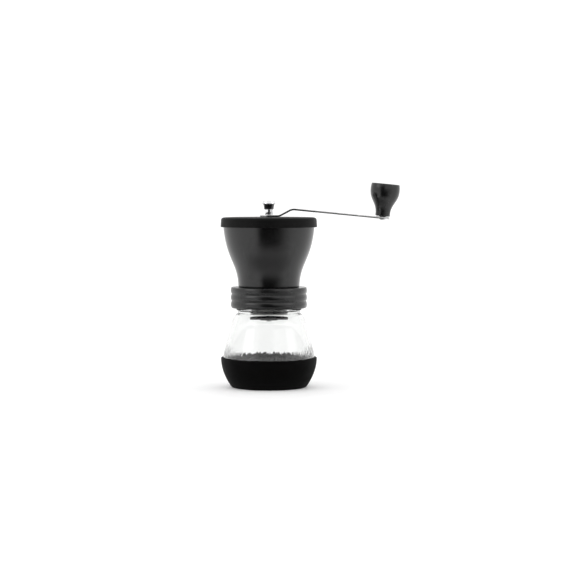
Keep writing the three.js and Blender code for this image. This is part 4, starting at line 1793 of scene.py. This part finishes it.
@dataclass
class GrindingCone:
    """The turning ceramic cone and the carrier in its foot."""

    shop: Workshop
    grind_level: float = 80.3
    well_radius: float = 6.5
    well_floor: float = 83.2
    bore: float = 4.3
    foot: Point = (17.6, 71.9)
    skirt: float = 14.1
    cone: tuple[Point, Point] = ((12.4, 84.0), (10.6, 88.0))
    crown: float = 9.4
    socket_flats: float = 16.0
    socket_top: float = 77.7
    shaft_flats: float = 6.4

    def build(self) -> None:
        """Builds the cone and its carrier."""
        self.build_cone()
        self.build_carrier()

    def build_cone(self) -> None:
        """Builds the ceramic cone with its spiral teeth and the socket under it."""
        extent = Extent.of("inner_burr")
        outline = Outline(self.bore, extent.bottom, 0.2)
        outline.to(self.foot[0], extent.bottom, 0.6)
        outline.to(*self.foot, 0.4)
        outline.to(self.skirt, self.foot[1], 0.3)
        outline.to(self.skirt, self.grind_level - 1.2)
        outline.straight(self.skirt, self.grind_level, 0.3)
        for point in self.cone:
            outline.straight(*point, 0.25)
        outline.straight(self.crown, extent.top - 0.3, 0.25)
        outline.to(self.crown - 0.3, extent.top, 0.1)
        outline.to(self.well_radius, extent.top, 0.3)
        outline.to(self.well_radius, self.well_floor, 0.2)
        outline.to(self.bore, self.well_floor, 0.2)
        piece = turned("turning_burr", outline, Sides.LARGE)
        self.shop.shapes.teeth.apply(
            piece,
            self.shop.finishes.ceramic,
            Teeth=12.0,
            Lean=0.09,
            Low=(self.grind_level - 0.6) * MM,
            High=extent.top * MM,
            Fine_depth=-0.45 * MM,
            Coarse_depth=-1.7 * MM,
            Outside_of=8.0 * MM,
        )
        hexagon = circle(self.socket_flats / math.sqrt(3), 6)
        socket = prism("socket", hexagon, extent.bottom - 1, self.socket_top)
        combined(piece, socket, Cut.AWAY)
        shade(piece.data)
        self.shop.place(piece, "inner_burr", "burr", "white_ceramic", self.shop.finishes.ceramic)

    def build_carrier(self) -> None:
        """Builds the carrier, a hexagon inside and out."""
        low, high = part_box("burr_carrier")
        flats = (high.x - low.x) / MM
        corners = circle(flats / math.sqrt(3), 6, 30)
        piece = prism("cone_carrier", corners, low.z / MM, high.z / MM, 0.4)
        hole = prism("hole", circle(self.shaft_flats / math.sqrt(3), 6), low.z / MM - 1, high.z / MM + 1)
        combined(piece, hole, Cut.AWAY)
        shade(piece.data)
        self.shop.place(piece, "burr_carrier", "burr", "black_plastic", self.shop.finishes.black)


@dataclass
class Dial:
    """The adjusting dial and its brass thread."""

    shop: Workshop
    flutes: float = 28.0
    flute_depth: float = 0.5
    hub_radius: float = 8.2
    hub_drop: float = 0.5
    bore: float = 5.3
    thread_radius: float = 2.9
    thread_depth: float = 0.15
    thread_width: float = 0.6
    thread_pitch: float = 0.8
    thread_turns: float = 3.0

    def build(self) -> None:
        """Builds the dial and its insert."""
        dial = Extent.of("adjusting_dial")
        hub_low, low = dial.bottom, dial.bottom + self.hub_drop
        outline = Outline(self.bore, hub_low, 0.2)
        outline.to(self.hub_radius, hub_low, 0.4)
        outline.to(self.hub_radius, low, 0.3)
        outline.to(14.0, low, 0.2).to(14.4, low + 0.4, 0.2).to(15.2, low + 0.4, 0.2).to(15.6, low, 0.2)
        outline.to(dial.radius, low, 0.5)
        outline.to(dial.radius, dial.top, 0.5)
        outline.to(self.bore, dial.top, 0.2)
        piece = turned("grind_dial", outline, Sides.LARGE)
        self.shop.shapes.flutes.apply(
            piece,
            self.shop.finishes.black,
            Count=self.flutes,
            Depth=self.flute_depth * MM,
            From=(dial.radius - 1.6) * MM,
            Full=(dial.radius - 0.6) * MM,
        )
        self.shop.place(piece, "adjusting_dial", "dial", "black_plastic", self.shop.finishes.black)
        insert = Extent.of("dial_insert")
        wall = self.thread_radius
        outline = Outline(wall, insert.bottom, 0.3).to(insert.radius, insert.bottom, 0.3)
        outline.to(insert.radius, insert.top, 0.3).to(wall, insert.top, 0.3)
        outline.straight(wall, insert.bottom + 0.3, 0.1)
        brass = turned("brass_insert", outline, Sides.SMALL)
        self.shop.shapes.thread.apply(
            brass,
            self.shop.finishes.brass,
            Wall=wall * MM,
            Height=-self.thread_depth * MM,
            Width=self.thread_width * MM,
            Pitch=self.thread_pitch * MM,
            Start=(insert.bottom + 0.3) * MM,
            Turns=self.thread_turns,
        )
        self.shop.place(brass, "dial_insert", "dial", "brass", self.shop.finishes.brass)


@dataclass
class Crank:
    """The bent arm, the nut that holds it, and the knob's pin and washer."""

    shop: Workshop
    thickness: float = 1.8
    hub_radius: float = 8.6
    end_radius: float = 6.9
    hex_hole: float = 6.4
    level: float = 165.9
    rise_x: float = 10.2
    crest: Point = (22.4, 172.4)
    knob_x: float = 109.6
    slope: float = 0.0975
    bend_radius: float = 9.0
    pin_hole: float = 2.8
    pin_neck: float = 2.5
    pin_shank: float = 3.5
    pin_head: tuple[float, float, float] = (5.2, 21.0, 22.6)
    washer: tuple[float, float, float, float] = (3.8, 6.2, 1.2, 1.6)
    nut_bore: float = 2.8
    nut_floor: float = 177.8
    nut_stem: float = 3.9
    nut_thread_turns: float = 11.0

    def build(self) -> None:
        """Builds the arm, the nut, the pin and the washer."""
        self.build_arm()
        self.build_nut()
        self.build_pin()
        self.build_knob_washer()

    def arm_level(self, x: float) -> float:
        """The height of the middle of the arm's outer stretch at x."""
        return self.crest[1] - self.slope * (x - self.crest[0])

    def on_pin(self) -> Matrix:
        """The place of the knob's pin: Z along it, with its zero in the middle of the arm."""
        place = Matrix.Translation(Vector((self.knob_x, 0, self.arm_level(self.knob_x))) * MM)
        return place @ Matrix.Rotation(math.atan(self.slope), 4, "Y")

    def spine(self) -> list[Vector]:
        """Points along the middle of the arm seen from the side, with its two bends rounded.

        Returns:
            The points in X and Z.
        """
        end = self.knob_x + self.end_radius + 1
        hub = (-self.hub_radius - 1, self.level)
        rise = (self.rise_x, self.level)
        tip = (end, self.arm_level(end))
        first = rounded_corner(hub, rise, self.crest, self.bend_radius, 14)
        second = rounded_corner(rise, self.crest, tip, self.bend_radius, 14)
        return [Vector(p) for p in [hub, *first, *second, tip]]

    def build_arm(self) -> None:
        """Builds the arm: the strip's side view and its plan, one cut by the other, with its two holes."""
        spine = self.spine()
        upper: list[Point] = []
        lower: list[Point] = []
        for i, point in enumerate(spine):
            along = (spine[min(i + 1, len(spine) - 1)] - spine[max(i - 1, 0)]).normalized()
            side = Vector((-along.y, along.x)) * self.thickness / 2
            upper.append(tuple(point + side))
            lower.append(tuple(point - side))
        width = self.hub_radius + 2
        piece = prism("steel_arm", lower + upper[::-1], -width, width)
        piece.data.transform(Matrix.Rotation(math.radians(90), 4, "X"))
        hub = circle(self.hub_radius, 36, 90, 180)
        tip = [(x + self.knob_x, y) for x, y in circle(self.end_radius, 36, -90, 180)]
        plan = prism("plan", hub + tip, self.level - 15, self.level + 25)
        combined(piece, plan, Cut.KEEP)
        hole = prism("hole", circle(self.hex_hole / math.sqrt(3), 6), self.level - 5, self.level + 5)
        combined(piece, hole, Cut.AWAY)
        pin_hole = prism("pin_hole", circle(self.pin_hole, 48), -5, 5)
        pin_hole.data.transform(self.on_pin())
        combined(piece, pin_hole, Cut.AWAY)
        bevelled(piece, 0.4, 3, 40)
        self.shop.place(piece, "crank_arm", "arm", "stainless_steel", self.shop.finishes.strip)

    def build_nut(self) -> None:
        """Builds the bright nut: a stem, a cone that widens upwards and a domed cap."""
        extent = Extent.of("cap_nut")
        outline = Outline(self.nut_bore, extent.bottom, 0.2)
        outline.to(self.nut_stem, extent.bottom, 0.25)
        outline.to(self.nut_stem, extent.top - 8.9, 0.3)
        outline.to(4.6, extent.top - 8.4, 0.2)
        outline.to(5.4, extent.top - 3.75, 0.15)
        outline.to(6.3, extent.top - 3.6, 0.2)
        outline.to(extent.radius, extent.top - 3.2, 0.3)
        outline.to(extent.radius - 0.85, extent.top - 0.5, 0.5)
        outline.curve((4.5, extent.top - 0.1), (2.2, extent.top), (0, extent.top), 10)
        outline.to(0, self.nut_floor)
        outline.to(self.nut_bore, self.nut_floor, 0.3)
        outline.straight(self.nut_bore, extent.bottom + 0.4, 0.12)
        piece = turned("bright_nut", outline, Sides.MEDIUM)
        self.shop.shapes.thread.apply(
            piece,
            self.shop.finishes.chrome,
            Wall=self.nut_bore * MM,
            Height=-0.18 * MM,
            Width=0.6 * MM,
            Pitch=0.8 * MM,
            Start=(extent.bottom + 0.8) * MM,
            Turns=self.nut_thread_turns,
        )
        self.shop.place(piece, "cap_nut", "nut", "chrome", self.shop.finishes.chrome)

    def build_pin(self) -> None:
        """Builds the rivet that the knob turns on."""
        half = self.thickness / 2
        outline = Outline(0, -half - 1.4)
        outline.curve((1.6, -half - 1.4), (2.8, -half - 1.1), (3.0, -half - 0.3), 10)
        head, head_low, head_top = self.pin_head
        outline.to(self.pin_neck, -half - 0.3).to(self.pin_neck, half + 0.3).to(self.pin_shank, half + 0.3, 0.2)
        outline.to(self.pin_shank, head_low, 0.1).to(head, head_low, 0.3)
        outline.to(head, head_top, 0.5).to(0, head_top)
        piece = turned("knob_rivet", outline, Sides.SMALL)
        piece.data.transform(self.on_pin())
        self.shop.place(piece, "knob_pin", "arm", "stainless_steel", self.shop.finishes.rivet)

    def build_knob_washer(self) -> None:
        """Builds the washer under the knob, its steel darkened as painted shade."""
        bore, radius, low, high = self.washer
        outline = Outline(bore, low, 0.08).to(radius, low, 0.1).to(radius, high, 0.12).to(bore, high, 0.08)
        piece = turned("knob_ring", outline, Sides.SMALL)
        piece.data.transform(self.on_pin())
        # Its dark colour is painted shade under the knob; the washer is stainless steel.
        self.shop.place(piece, "knob_washer", "arm", "stainless_steel", self.shop.finishes.steel_in_shade)


@dataclass
class Knob:
    """The knob and the cap in its top, built on the crank's tilted pin."""

    shop: Workshop
    crank: Crank
    base: float = 1.9
    height: float = 31.2
    neck: float = 7.1
    neck_top: float = 3.1
    belly: float = 14.1
    belly_top: float = 25.7
    crown: float = 13.3
    bore: float = 3.8
    counterbore: float = 6.3
    step: float = 20.7
    seat: float = 8.8
    seat_depth: float = 2.8

    def build(self) -> None:
        """Builds the knob and its cap."""
        end = self.base + self.height
        outline = Outline(self.bore, self.base, 0.2)
        outline.to(self.neck, self.base, 0.6)
        outline.to(self.neck, self.base + self.neck_top)
        outline.curve(
            (7.5, self.base + 12.6), (14.3, self.base + 14.9), (self.belly, self.base + self.belly_top), 44
        )
        outline.curve(
            (self.belly + 0.04, self.base + self.belly_top + 1.4),
            (self.crown + 0.65, end - 2.6),
            (self.crown + 0.45, end - 1.5),
            10,
        )
        outline.to(self.crown + 0.2, end, 1.2)
        outline.to(self.seat, end - 0.05, 0.25)
        outline.to(self.seat, end - self.seat_depth, 0.2)
        outline.to(self.counterbore, end - self.seat_depth)
        outline.to(self.counterbore, self.step)
        outline.to(self.bore, self.step)
        piece = turned("grip_knob", outline, Sides.LARGE)
        piece.data.transform(self.crank.on_pin())
        self.shop.place(piece, "crank_knob", "knob", "dark_grey_plastic", self.shop.finishes.body)
        outline = Outline(0, end - self.seat_depth + 0.3)
        outline.to(self.seat - 0.25, end - self.seat_depth + 0.3, 0.3)
        outline.to(self.seat - 0.25, end - 0.12, 0.3)
        outline.curve((6, end), (3, end), (0, end), 10)
        cap = turned("knob_plug", outline, Sides.MEDIUM)
        cap.data.transform(self.crank.on_pin())
        self.shop.place(cap, "knob_cap", "knob", "dark_grey_plastic", self.shop.finishes.body)


@dataclass(frozen=True)
class Flag:
    """A dark card that only reflections see, which paints a dark reflection on the grinder.

    Its sides fade, in degrees round the grinder and in metres from it.
    """

    name: str
    corners: tuple[Corner, Corner, Corner, Corner]
    strength: float
    left: tuple[float, float] = (-36.0, -16.0)
    right: tuple[float, float] = (14.0, 68.0)
    near: tuple[float, float] = (0.0, 0.01)
    far: tuple[float, float] = (8.0, 9.0)


@dataclass
class Studio:
    """The pale floor, the soft light and the camera."""

    floor_size: float = 60.0
    floor_colour: float = 0.97
    floor_glow: float = 0.08
    sky: float = 1.1
    camera_place: tuple[float, float, float] = (0.0204, -1.83, 0.191)
    camera_target: tuple[float, float, float] = (0.0204, 0.0, 0.0942)
    focal_length: float = 117.5
    # Painted reflections: these cards are seen only in reflections. The front, upper and floor cards paint the
    # dark side that faces the grinder; the near card paints the grinder's own shade on the floor.
    flags: tuple[Flag, ...] = (
        Flag(
            "front_flag",
            ((-0.4, -0.36, 0.0), (1.0, -0.36, 0.0), (1.0, -0.36, 0.19), (-0.4, -0.36, 0.19)),
            1.0,
        ),
        Flag(
            "upper_flag",
            ((-0.4, -0.36, 0.19), (0.4, -0.36, 0.19), (0.4, -0.36, 0.33), (-0.4, -0.36, 0.33)),
            1.0,
            right=(6.0, 18.0),
        ),
        Flag(
            "floor_flag",
            ((-0.4, -0.36, 0.001), (1.0, -0.36, 0.001), (1.0, -0.05, 0.001), (-0.4, -0.05, 0.001)),
            0.95,
            near=(0.14, 0.31),
        ),
        # Painted shade: this grey card on the floor round the grinder is seen only in reflections, where it
        # stands in for the grinder's own shadow on the floor.
        Flag(
            "near_painted_shade",
            ((-0.3, -0.3, 0.0015), (0.3, -0.3, 0.0015), (0.3, 0.1, 0.0015), (-0.3, 0.1, 0.0015)),
            0.58,
            left=(-115.0, -40.0),
            right=(40.0, 115.0),
            near=(0.04, 0.05),
            far=(0.13, 0.22),
        ),
    )

    def build(self) -> None:
        """Builds the studio."""
        self.build_floor()
        self.build_sky()
        for flag in self.flags:
            self.build_flag(flag)
        self.build_lamps()
        self.build_camera()

    def matt(self, name: str, shade: float, specular: float) -> bpy.types.Material:
        """A plain matt material.

        Args:
            name: Its name.
            shade: How light it is.
            specular: How much of it is glossy.

        Returns:
            The material.
        """
        material = bpy.data.materials.new(name)
        material.use_nodes = True
        shader = material.node_tree.nodes["Principled BSDF"]
        shader.inputs["Base Color"].default_value = (shade, shade, shade, 1.0)
        shader.inputs["Roughness"].default_value = 0.6
        shader.inputs["Specular IOR Level"].default_value = specular
        return material

    def build_floor(self) -> None:
        """Builds the floor, lit faintly from below."""
        half = self.floor_size / 2
        mesh = bpy.data.meshes.new("floor")
        corners = [(-half, -half, 0), (half, -half, 0), (half, half, 0), (-half, half, 0)]
        mesh.from_pydata(corners, [], [(0, 1, 2, 3)])
        material = self.matt("pale_floor", self.floor_colour, 0.2)
        shader = material.node_tree.nodes["Principled BSDF"]
        shader.inputs["Emission Color"].default_value = (1.0, 1.0, 1.0, 1.0)
        shader.inputs["Emission Strength"].default_value = self.floor_glow
        mesh.materials.append(material)
        new_piece("floor", mesh)

    def build_sky(self) -> None:
        """Builds the even white surround."""
        world = bpy.data.worlds.new("surround")
        world.use_nodes = True
        background = world.node_tree.nodes["Background"]
        background.inputs["Color"].default_value = (1.0, 1.0, 1.0, 1.0)
        background.inputs["Strength"].default_value = self.sky
        bpy.context.scene.world = world

    def build_flag(self, flag: Flag) -> None:
        """Sets up a dark card that only reflections see, which paints a dark reflection.

        Args:
            flag: The card.
        """
        mesh = bpy.data.meshes.new(flag.name)
        mesh.from_pydata(flag.corners, [], [(0, 1, 2, 3)])
        # The card's material paints a dark reflection that no camera, diffuse or shadow ray sees.
        material = self.matt(flag.name + "_cloth", 0.0, 0.0)
        nodes = Tree(material.node_tree)
        x, y, _ = nodes.split(nodes.node("ShaderNodeTexCoord").outputs["Object"])
        angle = nodes.math("ARCTAN2", x, nodes.math("MULTIPLY", y, -1.0))
        way = nodes.math("MULTIPLY", angle, 180 / math.pi)
        squares = nodes.math("ADD", nodes.math("MULTIPLY", x, x), nodes.math("MULTIPLY", y, y))
        distance = nodes.math("SQRT", squares)
        across = nodes.math("MULTIPLY", nodes.ramp(way, *flag.left), nodes.ramp(way, *flag.right, 1.0, 0.0))
        begins = nodes.ramp(distance, *flag.near)
        ends = nodes.ramp(distance, *flag.far, 1.0, 0.0)
        cover = nodes.math("MULTIPLY", across, nodes.math("MULTIPLY", begins, ends))
        cover = nodes.math("MULTIPLY", cover, flag.strength)
        nodes.feed(material.node_tree.nodes["Principled BSDF"].inputs["Alpha"], cover)
        mesh.materials.append(material)
        card = new_piece(flag.name, mesh)
        card.visible_camera = False
        card.visible_diffuse = False
        card.visible_transmission = False
        card.visible_shadow = False

    def build_lamps(self) -> None:
        """Builds the soft lamps."""
        self.lamp("key", (-0.9, -0.5, 0.7), 0.6, 1.3)
        self.lamp("fill", (1.1, -0.4, 0.7), 0.6, 0.9)

    def lamp(self, name: str, place: tuple[float, float, float], size: float, power: float) -> None:
        """Hangs a square lamp that points at the grinder.

        Args:
            name: The lamp's name.
            place: Where it hangs.
            size: Its side.
            power: Its power in watts.
        """
        light = bpy.data.lights.new(name, "AREA")
        light.size = size
        light.energy = power
        lamp = bpy.data.objects.new(name, light)
        bpy.context.scene.collection.objects.link(lamp)
        lamp.location = place
        aim = Vector(self.camera_target) - Vector(place)
        lamp.rotation_mode = "QUATERNION"
        lamp.rotation_quaternion = aim.to_track_quat("-Z", "Y")
        lamp.visible_camera = False

    def build_camera(self) -> None:
        """Builds the camera."""
        camera = bpy.data.objects.new("camera", bpy.data.cameras.new("camera"))
        bpy.context.scene.collection.objects.link(camera)
        camera.data.lens = self.focal_length
        camera.data.sensor_width = 36.0
        camera.location = self.camera_place
        aim = Vector(self.camera_target) - Vector(self.camera_place)
        camera.rotation_mode = "QUATERNION"
        camera.rotation_quaternion = aim.to_track_quat("-Z", "Y")
        bpy.context.scene.camera = camera
        bpy.context.scene.view_settings.view_transform = "Standard"


def main() -> None:
    """Builds the studio and every sub-assembly."""
    logging.basicConfig(level=logging.INFO, format="%(name)s %(message)s")
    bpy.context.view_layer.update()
    Studio().build()
    shop = Workshop(Finishes(Effects()), Shapes())
    crank = Crank(shop)
    for assembly in (Jar(shop), Mill(shop), Lid(shop), Drive(shop), GrindingCone(shop), Dial(shop), crank):
        assembly.build()
    Knob(shop, crank).build()


if __name__ == "__main__":
    main()
